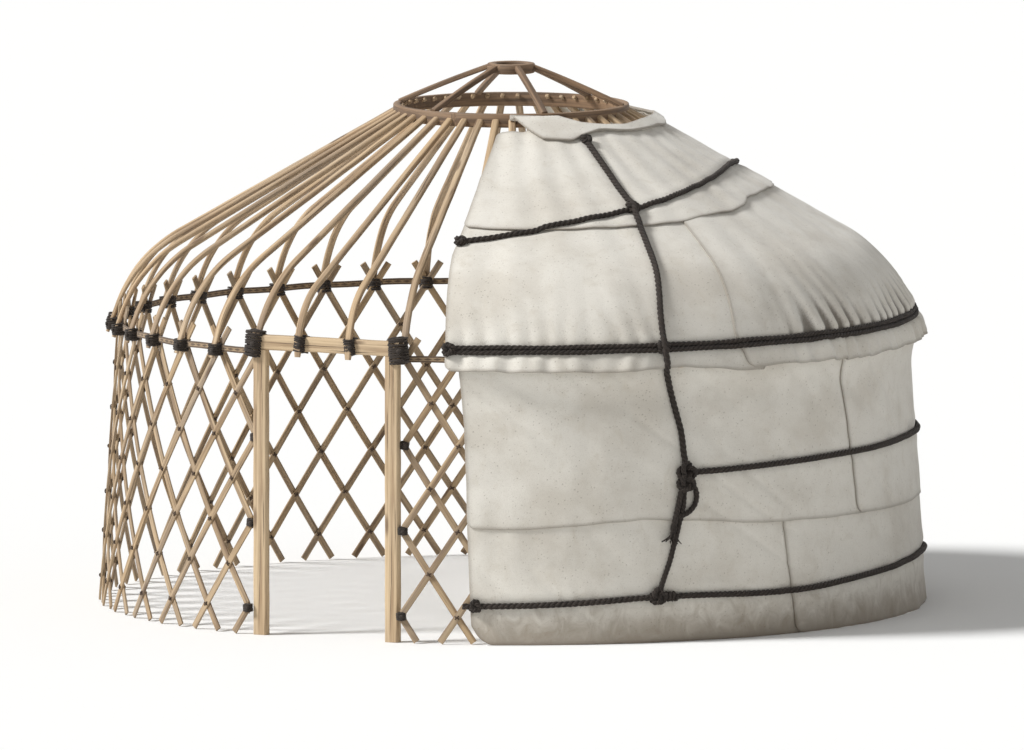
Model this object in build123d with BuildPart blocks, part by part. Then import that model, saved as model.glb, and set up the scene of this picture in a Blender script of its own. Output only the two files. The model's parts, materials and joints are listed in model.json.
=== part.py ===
"""A round felt tent (yurt): its whole wooden frame, with felt and ropes on one half only.

Millimetres, Z up, ground at Z = 0, the tent's axis on Z, the doorway facing -Y.
Angles go round the tent from the middle of the doorway towards +X.
"""

import os
from math import asin, atan2, ceil, cos, degrees, hypot, pi, radians, sin, tan

from build123d import *

os.makedirs("parts", exist_ok=True)

# Doorway: two posts under one lintel. The lattice fills the rest of the round.
door_clear_width = 830.0
door_head_rise = 26.0               # the lintel's underside over the top row of crossings
door_front_step = 30.0              # front of the frame past the lattice's outer face
door_side_gap = 7.3                 # from a post to the lattice's end
post_width = 90.0
post_depth = 55.0
lintel_height = 93.0
lintel_end = 12.0                   # lintel past each post

# Wall lattice: flat slats in two layers, tied where they cross.
section_count = 6
section_units = 7                   # diamonds round one lattice section
head_row_height = 1750.0            # top row of crossings
row_rise = 264.0                    # from one row of crossings to the next
girth_radius = 2464.0               # outer face of the lattice at the top row
ground_radius = 2580.0              # the same at the ground
slat_width = 42.0
slat_depth = 14.0
slat_bite = 2.0                     # one layer set into the other
slat_lap = 4.0                      # a slat's straight runs overlap at each bend
section_gap = 1.0                   # from a section's end to the line it ends on

# Roof poles: straight foot, bent knee, straight rise to the crown.
pole_width = 46.0
pole_depth = 34.0
pole_foot_depth = 26.0              # flattened where it lies in the fork of a lattice head
foot_drop = 15.0                    # the foot's mark is this far under the top row of crossings
foot_stand_off = 58.0               # the foot's outer face at the mark, past the lattice's
foot_tip_drop = 50.0                # the foot's end under the top row
foot_lean = 20.0                    # from the vertical
foot_to_knee = 417.0                # height of the knee's corner over the mark
knee_radius = 870.0
rise_lean = 60.2                    # from the vertical
door_pole_clearance = 3.0           # from a middle door pole to the lintel's front
door_pole_lean = 6.0                # the middle door poles stand nearly upright at the foot
door_pole_knee_radius = 480.0
door_side_pole_rise = 59.0          # the outer door poles end behind the lintel, over its underside
tip_width = 26.0                    # slim end of a pole, in the rim's socket
tip_depth = 22.0
tip_show = 8.0                      # past the rim's inner face
socket_clearance = 2.0

# Crown: rim, six arched spokes and a hub ring.
rim_radius = 737.0
rim_thickness = 45.0
rim_height = 86.0
rim_pole_gap = 1.0
rim_socket_level = 48.4             # middle of the sockets over the rim's underside
hub_radius = 150.0
hub_thickness = 55.0
hub_height = 62.0
hub_rise = 190.0                    # the hub's underside over the rim's top
spoke_count = 6
spoke_first_angle = 44.5
spoke_width = 40.0
spoke_depth = 34.0
spoke_arch = 6.0                    # rise of the spoke's middle over a straight one
spoke_set_back = 6.0                # its toe behind the rim's outer edge, its head under the hub's top
spoke_gap = 0.5

# Woven band round the lattice heads, under the feet of the poles.
band_height = 40.0
band_thickness = 2.5
band_gap = 1.8                      # the slats' flat runs stand this far off the circle
band_rise = 5.0                     # the band's middle over the top row of crossings

# Felt.
felt_thickness = 9.0
felt_gap = 1.0
wall_felt_clearance = 6.0           # lattice to lower wall felt
pole_felt_clearance = 2.0           # poles to the wall felt's head
roof_front_angle = 18.0
wall_front_angle = 20.0
cover_back_angle = 199.5
roof_seam_angle = 63.0
upper_wall_seam_angle = 83.0
lower_wall_seam_angle = 69.0
seam_gap = 0.04                     # degrees between felts that meet at a seam
skirt_drop = 55.0                   # lower edge of the roof felt under the top row
wall_felt_head_rise = 50.0          # head of the wall felt over the top row
wall_felt_bend_drop = 50.0          # it bends out round the poles' feet this far under the top row
wall_felt_waist_drop = 200.0        # and has come in to the lattice again this far under it
upper_wall_felt_foot = 700.0
wall_felt_lap = 55.0                # the upper course hangs this far over the lower one
lower_roof_felt_head_radius = 1560.0
roof_felt_lap = 155.0               # the upper roof felt reaches this far out over the lower ones
roof_felt_rim_gap = 13.0            # the upper roof felt ends this far outside the rim
flap_thickness = 16.0
flap_reach = 180.0                  # the flap's lower edge out from its upper one
flap_start_angle = 30.0
flap_end_angle = 187.5

# Ropes on the felt.
rope_gap = 1.0
girth_rope_radius = 14.0
girth_rope_rise = 54.0              # the lower turn over the top row of crossings
girth_rope_spacing = 29.0
roof_rope_radius = 15.0
roof_rope_edge_radius = 1880.0      # where the roof rope leaves the felt's front edge
roof_rope_top_radius = 1362.0       # at its highest, half way round the cover
roof_rope_sag = 1.5                 # power by which it comes down from there
wall_rope_radius = 12.0
mid_rope_start = 1045.0
mid_rope_rise = 75.0
mid_rope_set_back = 0.8             # degrees short of the ropes it is tied to
low_rope_start = 240.0
low_rope_rise = 105.0
low_rope_set_back = 2.5             # degrees short of the cover's edge
down_rope_radius = 15.0
down_rope_slack = 6.0               # it stands a little off the felt between its bends
down_rope_crown_gap = 30.0          # its upper end out from the flap's lower edge
down_rope_bow_drop = 245.0          # where it has come back to the wall, under the skirt
down_rope_foot_drop = 20.0          # where it bends in under the upper wall felt
down_rope_end_rise = 30.0           # its lower end over the low rope
down_rope_crown_turn = 53.0         # turns are in degrees from the middle of the cover
down_rope_roof_turn = 54.0
down_rope_knee_turn = 57.5
down_rope_girth_turn = 59.5
down_rope_skirt_turn = 59.0
down_rope_bow_turn = 56.5
down_rope_foot_turn = 59.0
rope_steps = 18                     # runs in a rope that goes round the cover
bend_share = 0.45                   # of the shorter run beside a bend, used up by it

# The door frame sets where the lattice starts, and the lattice's diamonds fill what is left.
door_half_width = door_clear_width / 2 + post_width
door_half_angle = degrees(asin((door_half_width + door_side_gap) / girth_radius))
door_front = girth_radius + door_front_step
door_clear_height = head_row_height + door_head_rise
section_angle = (360 - 2 * door_half_angle) / section_count
unit_angle = section_angle / section_units
wall_slope = (ground_radius - girth_radius) / head_row_height
row_count = ceil(head_row_height / row_rise) + 1      # the last row is under the ground

# The poles stand on the lattice's heads, and the crown on the poles.
foot_height = head_row_height - foot_drop
foot_radius = girth_radius + foot_stand_off
foot_tip_height = head_row_height - foot_tip_drop
wall_foot = (foot_radius, foot_height, foot_lean, knee_radius)
knee_corner = (foot_radius - foot_to_knee * tan(radians(foot_lean)), foot_height + foot_to_knee)
door_pole_angles = [door_half_angle * share for share in (-1, -1 / 3, 1 / 3, 1)]
wall_pole_angles = [door_half_angle + unit_angle * (step + 1) for step in range(section_units)]

# The felts lap over each other.
cover_middle_angle = (roof_front_angle + cover_back_angle) / 2
cover_half_angle = (cover_back_angle - roof_front_angle) / 2
skirt_height = head_row_height - skirt_drop
wall_felt_head = head_row_height + wall_felt_head_rise
wall_felt_bend = head_row_height - wall_felt_bend_drop
wall_felt_waist = head_row_height - wall_felt_waist_drop
lower_wall_felt_head = upper_wall_felt_foot + wall_felt_lap
upper_roof_felt_foot_radius = lower_roof_felt_head_radius + roof_felt_lap
upper_roof_felt_head_radius = rim_radius + roof_felt_rim_gap
flap_foot_radius = upper_roof_felt_head_radius + flap_reach
lower_roof_inner = pole_felt_clearance + felt_thickness + felt_gap
lower_roof_outer = lower_roof_inner + felt_thickness
upper_roof_inner = lower_roof_outer + felt_gap
upper_roof_outer = upper_roof_inner + felt_thickness
flap_inner = upper_roof_outer + felt_gap


def radial_plane(angle):
    """Upright plane through the axis: x outward at the angle, y up."""
    turn = radians(angle)
    return Plane((0, 0, 0), x_dir=(sin(turn), -cos(turn), 0), z_dir=(-cos(turn), -sin(turn), 0))


def around(angle, radius, height):
    """Point at an angle round the tent."""
    turn = radians(angle)
    return (radius * sin(turn), -radius * cos(turn), height)


def lattice_radius(height):
    """Outer face of the lattice."""
    return girth_radius + (head_row_height - height) * wall_slope


def crossing_plane(angle, height):
    """Plane on the lattice's outer face at a crossing, x along the wall and y up it."""
    turn = radians(angle)
    return Plane(
        around(angle, lattice_radius(height), height),
        x_dir=(cos(turn), sin(turn), 0),
        z_dir=(sin(turn), -cos(turn), wall_slope),
    )


def roof_line(offset, foot=wall_foot):
    """Ends, middle and corner of the knee on a pole's outer face, moved outward by the offset."""
    radius, height, lean, bend = foot
    up_foot = (-sin(radians(lean)), cos(radians(lean)))
    up_rise = (-sin(radians(rise_lean)), cos(radians(rise_lean)))
    cross = up_foot[0] * up_rise[1] - up_foot[1] * up_rise[0]
    reach_r = knee_corner[0] - radius
    reach_z = knee_corner[1] - height
    along = (reach_r * up_rise[1] - reach_z * up_rise[0]) / cross
    corner = (radius + along * up_foot[0], height + along * up_foot[1])
    half_bend = radians(rise_lean - lean) / 2
    middle = radians(lean) + half_bend
    out = (cos(middle), sin(middle))
    sweep_back = bend / cos(half_bend)
    centre = (corner[0] - sweep_back * out[0], corner[1] - sweep_back * out[1])
    swing = bend + offset
    return {
        "low": (centre[0] + swing * up_foot[1], centre[1] - swing * up_foot[0]),
        "middle": (centre[0] + swing * out[0], centre[1] + swing * out[1]),
        "high": (centre[0] + swing * up_rise[1], centre[1] - swing * up_rise[0]),
        "corner": (
            centre[0] + swing / cos(half_bend) * out[0],
            centre[1] + swing / cos(half_bend) * out[1],
        ),
    }


def on_foot(offset, height, foot=wall_foot):
    """Point of the moved foot line at a height."""
    low = roof_line(offset, foot)["low"]
    return (low[0] + (low[1] - height) * tan(radians(foot[2])), height)


def on_rise(offset, radius):
    """Point of the moved rise line at a radius."""
    high = roof_line(offset)["high"]
    return (radius, high[1] + (high[0] - radius) / tan(radians(rise_lean)))


def knee_strip(inner, outer, tip_height, head_radius):
    """Sketch a strip of roof felt round the knee, from a height up to a radius on the rise."""
    near = roof_line(inner)
    far = roof_line(outer)
    with BuildLine() as outline:
        Line(on_foot(outer, tip_height), far["low"])
        ThreePointArc(far["low"], far["middle"], far["high"])
        Line(far["high"], on_rise(outer, head_radius))
        Line(on_rise(outer, head_radius), on_rise(inner, head_radius))
        Line(on_rise(inner, head_radius), near["high"])
        ThreePointArc(near["high"], near["middle"], near["low"])
        Line(near["low"], on_foot(inner, tip_height))
        Line(on_foot(inner, tip_height), on_foot(outer, tip_height))
    make_face(outline.edges())


def pole_side(tip_height, foot):
    """Sketch the side of a pole, thinner at the foot than along the rise."""
    outer = roof_line(0, foot)
    seat_radius = rim_radius + rim_pole_gap
    inner_low = roof_line(-pole_foot_depth, foot)["low"]
    inner_middle = roof_line(-(pole_foot_depth + pole_depth) / 2, foot)["middle"]
    inner_high = roof_line(-pole_depth, foot)["high"]
    with BuildLine() as outline:
        Line(on_foot(0, tip_height, foot), outer["low"])
        ThreePointArc(outer["low"], outer["middle"], outer["high"])
        Line(outer["high"], on_rise(0, seat_radius))
        Line(on_rise(0, seat_radius), on_rise(-pole_depth, seat_radius))
        Line(on_rise(-pole_depth, seat_radius), inner_high)
        ThreePointArc(inner_high, inner_middle, inner_low)
        Line(inner_low, on_foot(-pole_foot_depth, tip_height, foot))
        Line(on_foot(-pole_foot_depth, tip_height, foot), on_foot(0, tip_height, foot))
    make_face(outline.edges())


def rise_plane(angle, radius):
    """Plane across the middle of a pole's rise at a radius, its normal up the pole."""
    turn = radians(angle)
    lean = radians(rise_lean)
    return Plane(
        around(angle, *on_rise(-pole_depth / 2, radius)),
        x_dir=(cos(turn), sin(turn), 0),
        z_dir=(-sin(lean) * sin(turn), sin(lean) * cos(turn), cos(lean)),
    )


def add_pole(angle, tip_height=foot_tip_height, foot=wall_foot):
    """One roof pole at an angle, its slim tip reaching through the rim."""
    reach = (rim_thickness + rim_pole_gap + tip_show) / sin(radians(rise_lean))
    with BuildSketch(radial_plane(angle)) as side:
        pole_side(tip_height, foot)
    extrude(side.sketch, amount=pole_width / 2, both=True)
    with Locations(Location(rise_plane(angle, rim_radius + rim_pole_gap))):
        Box(tip_width, tip_depth, 2 * reach)


# Lattice sections: one is built, the others are turned copies of it.
with BuildPart() as lattice_section_1:
    for row in range(row_count):
        height = head_row_height - row * row_rise
        half_run = lattice_radius(height) * tan(radians(unit_angle / 4))
        half_rise = row_rise / 2 * hypot(1, wall_slope)
        slat_run = 2 * hypot(half_run, half_rise) + 2 * slat_lap
        slat_lean = degrees(atan2(half_run, half_rise))
        shift = unit_angle / 2 if row % 2 else 0.0
        columns = section_units if row % 2 else section_units + 1
        planes = [
            crossing_plane(door_half_angle + shift + column * unit_angle, height)
            for column in range(columns)
        ]
        with Locations(*[Location(plane) for plane in planes]):
            Box(slat_width, slat_run, slat_depth, rotation=(0, 0, -slat_lean),
                align=(Align.CENTER, Align.CENTER, Align.MAX))
        with Locations(*[Location(plane.offset(slat_bite - slat_depth)) for plane in planes]):
            Box(slat_width, slat_run, slat_depth, rotation=(0, 0, slat_lean),
                align=(Align.CENTER, Align.CENTER, Align.MAX))
    split(bisect_by=Plane.XY, keep=Keep.TOP)
    first_end = radial_plane(door_half_angle).offset(-section_gap)
    last_end = radial_plane(door_half_angle + section_angle).offset(section_gap)
    split(bisect_by=first_end, keep=Keep.BOTTOM)
    split(bisect_by=last_end, keep=Keep.TOP)
lattice_section_1.part.label = "lattice_section_1"
export_step(lattice_section_1.part, "parts/lattice_section_1.step")

with BuildPart() as lattice_section_2:
    add(lattice_section_1.part, rotation=(0, 0, section_angle))
lattice_section_2.part.label = "lattice_section_2"
export_step(lattice_section_2.part, "parts/lattice_section_2.step")

with BuildPart() as lattice_section_3:
    add(lattice_section_1.part, rotation=(0, 0, 2 * section_angle))
lattice_section_3.part.label = "lattice_section_3"
export_step(lattice_section_3.part, "parts/lattice_section_3.step")

with BuildPart() as lattice_section_4:
    add(lattice_section_1.part, rotation=(0, 0, 3 * section_angle))
lattice_section_4.part.label = "lattice_section_4"
export_step(lattice_section_4.part, "parts/lattice_section_4.step")

with BuildPart() as lattice_section_5:
    add(lattice_section_1.part, rotation=(0, 0, 4 * section_angle))
lattice_section_5.part.label = "lattice_section_5"
export_step(lattice_section_5.part, "parts/lattice_section_5.step")

with BuildPart() as lattice_section_6:
    add(lattice_section_1.part, rotation=(0, 0, 5 * section_angle))
lattice_section_6.part.label = "lattice_section_6"
export_step(lattice_section_6.part, "parts/lattice_section_6.step")

# Door frame.
with BuildPart() as door_post_left:
    with Locations((-(door_clear_width + post_width) / 2, -door_front, 0)):
        Box(post_width, post_depth, door_clear_height, align=(Align.CENTER, Align.MIN, Align.MIN))
door_post_left.part.label = "door_post_left"
export_step(door_post_left.part, "parts/door_post_left.step")

with BuildPart() as door_post_right:
    with Locations(((door_clear_width + post_width) / 2, -door_front, 0)):
        Box(post_width, post_depth, door_clear_height, align=(Align.CENTER, Align.MIN, Align.MIN))
door_post_right.part.label = "door_post_right"
export_step(door_post_right.part, "parts/door_post_right.step")

with BuildPart() as door_lintel:
    with Locations((0, -door_front, door_clear_height)):
        Box(2 * (door_half_width + lintel_end), post_depth, lintel_height,
            align=(Align.CENTER, Align.MIN, Align.MIN))
door_lintel.part.label = "door_lintel"
export_step(door_lintel.part, "parts/door_lintel.step")

# Band round the lattice heads, from one post to the other.
with BuildPart() as head_band:
    band_inner = girth_radius + band_gap
    with BuildSketch(radial_plane(door_half_angle)):
        with Locations((band_inner, head_row_height + band_rise)):
            Rectangle(band_thickness, band_height, align=(Align.MIN, Align.CENTER))
    revolve(axis=Axis.Z, revolution_arc=360 - 2 * door_half_angle)
head_band.part.label = "head_band"
export_step(head_band.part, "parts/head_band.step")

# Roof poles, one to each head of the lattice and grouped by its sections.
with BuildPart() as roof_poles_1:
    for angle in wall_pole_angles:
        add_pole(angle)
roof_poles_1.part.label = "roof_poles_1"
export_step(roof_poles_1.part, "parts/roof_poles_1.step")

with BuildPart() as roof_poles_2:
    add(roof_poles_1.part, rotation=(0, 0, section_angle))
roof_poles_2.part.label = "roof_poles_2"
export_step(roof_poles_2.part, "parts/roof_poles_2.step")

with BuildPart() as roof_poles_3:
    add(roof_poles_1.part, rotation=(0, 0, 2 * section_angle))
roof_poles_3.part.label = "roof_poles_3"
export_step(roof_poles_3.part, "parts/roof_poles_3.step")

with BuildPart() as roof_poles_4:
    add(roof_poles_1.part, rotation=(0, 0, 3 * section_angle))
roof_poles_4.part.label = "roof_poles_4"
export_step(roof_poles_4.part, "parts/roof_poles_4.step")

with BuildPart() as roof_poles_5:
    add(roof_poles_1.part, rotation=(0, 0, 4 * section_angle))
roof_poles_5.part.label = "roof_poles_5"
export_step(roof_poles_5.part, "parts/roof_poles_5.step")

# The last group is one pole short: that pole stands on the lintel.
with BuildPart() as roof_poles_6:
    for angle in wall_pole_angles[:-1]:
        add_pole(angle + (section_count - 1) * section_angle)
roof_poles_6.part.label = "roof_poles_6"
export_step(roof_poles_6.part, "parts/roof_poles_6.step")

# Four poles over the doorway: two in front of the lintel, and one behind each of its ends.
with BuildPart() as door_poles:
    turn = radians(door_pole_angles[2])
    lintel_reach = (door_front + door_pole_clearance) / cos(turn) + pole_width / 2 * tan(turn)
    door_foot = (
        lintel_reach + pole_foot_depth / cos(radians(door_pole_lean)),
        door_clear_height + lintel_height,
        door_pole_lean,
        door_pole_knee_radius,
    )
    for angle in door_pole_angles[1:3]:
        add_pole(angle, foot_tip_height, door_foot)
    for angle in door_pole_angles[::3]:
        add_pole(angle, door_clear_height + door_side_pole_rise)
door_poles.part.label = "door_poles"
export_step(door_poles.part, "parts/door_poles.step")

# Crown: a socket in the rim for the tip of each pole.
socket_radius = rim_radius - rim_thickness / 2
rim_bottom = on_rise(-pole_depth / 2, socket_radius)[1] - rim_socket_level
hub_bottom = rim_bottom + rim_height + hub_rise

with BuildPart() as crown_rim:
    with Locations((0, 0, rim_bottom)):
        Cylinder(rim_radius, rim_height, align=(Align.CENTER, Align.CENTER, Align.MIN))
        Cylinder(rim_radius - rim_thickness, rim_height, mode=Mode.SUBTRACT,
                 align=(Align.CENTER, Align.CENTER, Align.MIN))
    sections_apart = [section * section_angle for section in range(section_count)]
    socket_angles = [angle + turned for turned in sections_apart for angle in wall_pole_angles]
    for angle in door_pole_angles + socket_angles[:-1]:
        with Locations(Location(rise_plane(angle, socket_radius))):
            Box(tip_width + 2 * socket_clearance, tip_depth + 2 * socket_clearance,
                2 * rim_thickness / sin(radians(rise_lean)), mode=Mode.SUBTRACT)
crown_rim.part.label = "crown_rim"
export_step(crown_rim.part, "parts/crown_rim.step")

with BuildPart() as crown_hub:
    with Locations((0, 0, hub_bottom)):
        Cylinder(hub_radius, hub_height, align=(Align.CENTER, Align.CENTER, Align.MIN))
        Cylinder(hub_radius - hub_thickness, hub_height, mode=Mode.SUBTRACT,
                 align=(Align.CENTER, Align.CENTER, Align.MIN))
crown_hub.part.label = "crown_hub"
export_step(crown_hub.part, "parts/crown_hub.step")

with BuildPart() as crown_spokes:
    toe = (rim_radius - spoke_set_back, rim_bottom + rim_height + spoke_gap)
    head = (hub_radius + spoke_gap, hub_bottom + hub_height - spoke_set_back)
    spoke_lean = atan2(head[1] - toe[1], toe[0] - head[0])
    heel = (toe[0] - spoke_depth / sin(spoke_lean), toe[1])
    under_head = (head[0], head[1] - spoke_depth / cos(spoke_lean))
    top_middle = ((toe[0] + head[0]) / 2, (toe[1] + head[1]) / 2 + spoke_arch)
    under_middle = ((heel[0] + under_head[0]) / 2, (heel[1] + under_head[1]) / 2 + spoke_arch)
    for step in range(spoke_count):
        with BuildSketch(radial_plane(spoke_first_angle + step * 360 / spoke_count)):
            with BuildLine():
                ThreePointArc(toe, top_middle, head)
                Line(head, under_head)
                ThreePointArc(under_head, under_middle, heel)
                Line(heel, toe)
            make_face()
        extrude(amount=spoke_width / 2, both=True)
crown_spokes.part.label = "crown_spokes"
export_step(crown_spokes.part, "parts/crown_spokes.step")


def wall_strip(inner_foot, inner_head, foot, head, thickness):
    """Sketch an upright strip of wall felt between two heights."""
    with BuildLine() as outline:
        Polyline(
            (inner_foot, foot),
            (inner_foot + thickness, foot),
            (inner_head + thickness, head),
            (inner_head, head),
            close=True,
        )
    make_face(outline.edges())


# Wall felt: a lower and an upper course, each in a short front piece and a long back piece.
lower_felt_foot_radius = lattice_radius(0) + wall_felt_clearance
lower_felt_head_radius = lattice_radius(lower_wall_felt_head) + wall_felt_clearance

with BuildPart() as wall_felt_lower_front:
    with BuildSketch(radial_plane(wall_front_angle)):
        wall_strip(lower_felt_foot_radius, lower_felt_head_radius, 0, lower_wall_felt_head, felt_thickness)
    revolve(axis=Axis.Z, revolution_arc=lower_wall_seam_angle - wall_front_angle)
wall_felt_lower_front.part.label = "wall_felt_lower_front"
export_step(wall_felt_lower_front.part, "parts/wall_felt_lower_front.step")

with BuildPart() as wall_felt_lower_back:
    with BuildSketch(radial_plane(lower_wall_seam_angle + seam_gap)):
        wall_strip(lower_felt_foot_radius, lower_felt_head_radius, 0, lower_wall_felt_head, felt_thickness)
    revolve(axis=Axis.Z, revolution_arc=cover_back_angle - lower_wall_seam_angle - seam_gap)
wall_felt_lower_back.part.label = "wall_felt_lower_back"
export_step(wall_felt_lower_back.part, "parts/wall_felt_lower_back.step")

upper_foot_inner = (
    lattice_radius(upper_wall_felt_foot) + wall_felt_clearance + felt_thickness + felt_gap
)
upper_waist_inner = lattice_radius(wall_felt_waist) + wall_felt_clearance
upper_bend_inner = on_foot(pole_felt_clearance, wall_felt_bend)[0]
upper_head_inner = on_foot(pole_felt_clearance, wall_felt_head)[0]


def upper_wall_strips():
    """Sketch the upper wall felt: in to the lattice, out round the poles' feet and up beside them."""
    marks = [
        (upper_foot_inner, upper_wall_felt_foot),
        (upper_waist_inner, wall_felt_waist),
        (upper_bend_inner, wall_felt_bend),
        (upper_head_inner, wall_felt_head),
    ]
    for (inner_foot, foot), (inner_head, head) in zip(marks, marks[1:]):
        wall_strip(inner_foot, inner_head, foot, head, felt_thickness)


with BuildPart() as wall_felt_upper_front:
    with BuildSketch(radial_plane(wall_front_angle)):
        upper_wall_strips()
    revolve(axis=Axis.Z, revolution_arc=upper_wall_seam_angle - wall_front_angle)
wall_felt_upper_front.part.label = "wall_felt_upper_front"
export_step(wall_felt_upper_front.part, "parts/wall_felt_upper_front.step")

with BuildPart() as wall_felt_upper_back:
    with BuildSketch(radial_plane(upper_wall_seam_angle + seam_gap)):
        upper_wall_strips()
    revolve(axis=Axis.Z, revolution_arc=cover_back_angle - upper_wall_seam_angle - seam_gap)
wall_felt_upper_back.part.label = "wall_felt_upper_back"
export_step(wall_felt_upper_back.part, "parts/wall_felt_upper_back.step")

# Roof felt: two pieces over the knee, one above them, and the crown's cover folded back on top.
with BuildPart() as roof_felt_lower_front:
    with BuildSketch(radial_plane(roof_front_angle)):
        knee_strip(lower_roof_inner, lower_roof_outer, skirt_height, lower_roof_felt_head_radius)
    revolve(axis=Axis.Z, revolution_arc=roof_seam_angle - roof_front_angle)
roof_felt_lower_front.part.label = "roof_felt_lower_front"
export_step(roof_felt_lower_front.part, "parts/roof_felt_lower_front.step")

with BuildPart() as roof_felt_lower_back:
    with BuildSketch(radial_plane(roof_seam_angle + seam_gap)):
        knee_strip(lower_roof_inner, lower_roof_outer, skirt_height, lower_roof_felt_head_radius)
    revolve(axis=Axis.Z, revolution_arc=cover_back_angle - roof_seam_angle - seam_gap)
roof_felt_lower_back.part.label = "roof_felt_lower_back"
export_step(roof_felt_lower_back.part, "parts/roof_felt_lower_back.step")


def rise_strip(inner, outer, foot_radius_cut, head_radius_cut):
    """Sketch a straight strip along the rise of the roof."""
    with BuildLine() as outline:
        Polyline(
            on_rise(inner, foot_radius_cut),
            on_rise(outer, foot_radius_cut),
            on_rise(outer, head_radius_cut),
            on_rise(inner, head_radius_cut),
            close=True,
        )
    make_face(outline.edges())


with BuildPart() as roof_felt_upper:
    with BuildSketch(radial_plane(roof_front_angle)):
        rise_strip(upper_roof_inner, upper_roof_outer, upper_roof_felt_foot_radius,
                   upper_roof_felt_head_radius)
    revolve(axis=Axis.Z, revolution_arc=cover_back_angle - roof_front_angle)
roof_felt_upper.part.label = "roof_felt_upper"
export_step(roof_felt_upper.part, "parts/roof_felt_upper.step")

with BuildPart() as crown_flap:
    with BuildSketch(radial_plane(flap_start_angle)):
        rise_strip(flap_inner, flap_inner + flap_thickness, flap_foot_radius, upper_roof_felt_head_radius)
    revolve(axis=Axis.Z, revolution_arc=flap_end_angle - flap_start_angle)
crown_flap.part.label = "crown_flap"
export_step(crown_flap.part, "parts/crown_flap.step")

# Ropes. Two turns of girth rope hold the roof felt in under the knee.
girth_rope_low = head_row_height + girth_rope_rise
girth_rope_levels = (girth_rope_low, girth_rope_low + girth_rope_spacing)

with BuildPart() as rope_girth:
    rope_seat = lower_roof_outer + rope_gap + girth_rope_radius
    for level in girth_rope_levels:
        with BuildSketch(radial_plane(roof_front_angle)):
            with Locations(on_foot(rope_seat, level)):
                Circle(girth_rope_radius)
    revolve(axis=Axis.Z, revolution_arc=cover_back_angle - roof_front_angle)
rope_girth.part.label = "rope_girth"
export_step(rope_girth.part, "parts/rope_girth.step")


def upper_wall_face(height):
    """Outer face of the upper wall felt, from its foot to its waist."""
    share = (height - upper_wall_felt_foot) / (wall_felt_waist - upper_wall_felt_foot)
    return upper_foot_inner + share * (upper_waist_inner - upper_foot_inner) + felt_thickness


def lower_wall_face(height):
    """Outer face of the lower wall felt."""
    return lattice_radius(height) + wall_felt_clearance + felt_thickness


def bend_radii(points):
    """Even bends for a route, each as large as the runs beside it allow."""
    radii = []
    for before, here, after in zip(points, points[1:], points[2:]):
        arriving = Vector(*here) - Vector(*before)
        leaving = Vector(*after) - Vector(*here)
        half_turn = radians(arriving.get_angle(leaving)) / 2
        radii.append(bend_share * min(arriving.length, leaving.length) / tan(half_turn))
    return radii


def add_rope(points, radius, bends):
    """A round rope along straight runs joined by arcs."""
    with BuildLine() as run:
        line = FilletPolyline(*points, radius=bends)
    volume = pi * radius ** 2 * line.length
    print(f"rope {line.length:.0f} mm long, {volume:.0f} mm3, bends", *map(round, bends))
    with BuildSketch(Plane(line @ 0, z_dir=line % 0)) as end:
        Circle(radius)
    sweep(end.sketch, path=run.line)


def steps_round(half_angle):
    """Turns from the middle of the cover at a rope's points, and how far out each bend stands."""
    step = half_angle / rope_steps
    turns = [2 * step * count - half_angle for count in range(rope_steps + 1)]
    return turns, 1 / cos(radians(step))


def roof_rope_course(turn):
    """Radius of the roof rope at a turn from the middle of the cover."""
    share = abs(turn) / cover_half_angle
    return roof_rope_top_radius + (roof_rope_edge_radius - roof_rope_top_radius) * share ** roof_rope_sag


with BuildPart() as rope_roof:
    lift = upper_roof_outer + rope_gap + roof_rope_radius
    turns, stand_out = steps_round(cover_half_angle)
    roof_rope_path = []
    for turn in turns:
        radius, height = on_rise(lift, roof_rope_course(turn))
        roof_rope_path.append(around(cover_middle_angle + turn, stand_out * radius, height))
    add_rope(roof_rope_path, roof_rope_radius, bend_radii(roof_rope_path))
rope_roof.part.label = "rope_roof"
export_step(rope_roof.part, "parts/rope_roof.step")

with BuildPart() as rope_mid:
    mid_rope_half_angle = down_rope_bow_turn - mid_rope_set_back
    turns, stand_out = steps_round(mid_rope_half_angle)
    mid_rope_path = []
    for turn in turns:
        height = mid_rope_start + mid_rope_rise * cos(radians(90 * turn / mid_rope_half_angle))
        radius = upper_wall_face(height) + rope_gap + wall_rope_radius
        mid_rope_path.append(around(cover_middle_angle + turn, stand_out * radius, height))
    add_rope(mid_rope_path, wall_rope_radius, bend_radii(mid_rope_path))
rope_mid.part.label = "rope_mid"
export_step(rope_mid.part, "parts/rope_mid.step")

low_rope_half_angle = cover_half_angle - low_rope_set_back


def low_rope_course(turn):
    """Height of the low rope at a turn from the middle of the cover."""
    return low_rope_start + low_rope_rise * cos(radians(90 * turn / low_rope_half_angle))


with BuildPart() as rope_low:
    turns, stand_out = steps_round(low_rope_half_angle)
    low_rope_path = []
    for turn in turns:
        height = low_rope_course(turn)
        radius = lower_wall_face(height) + rope_gap + wall_rope_radius
        low_rope_path.append(around(cover_middle_angle + turn, stand_out * radius, height))
    add_rope(low_rope_path, wall_rope_radius, bend_radii(low_rope_path))
rope_low.part.label = "rope_low"
export_step(rope_low.part, "parts/rope_low.step")


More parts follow.
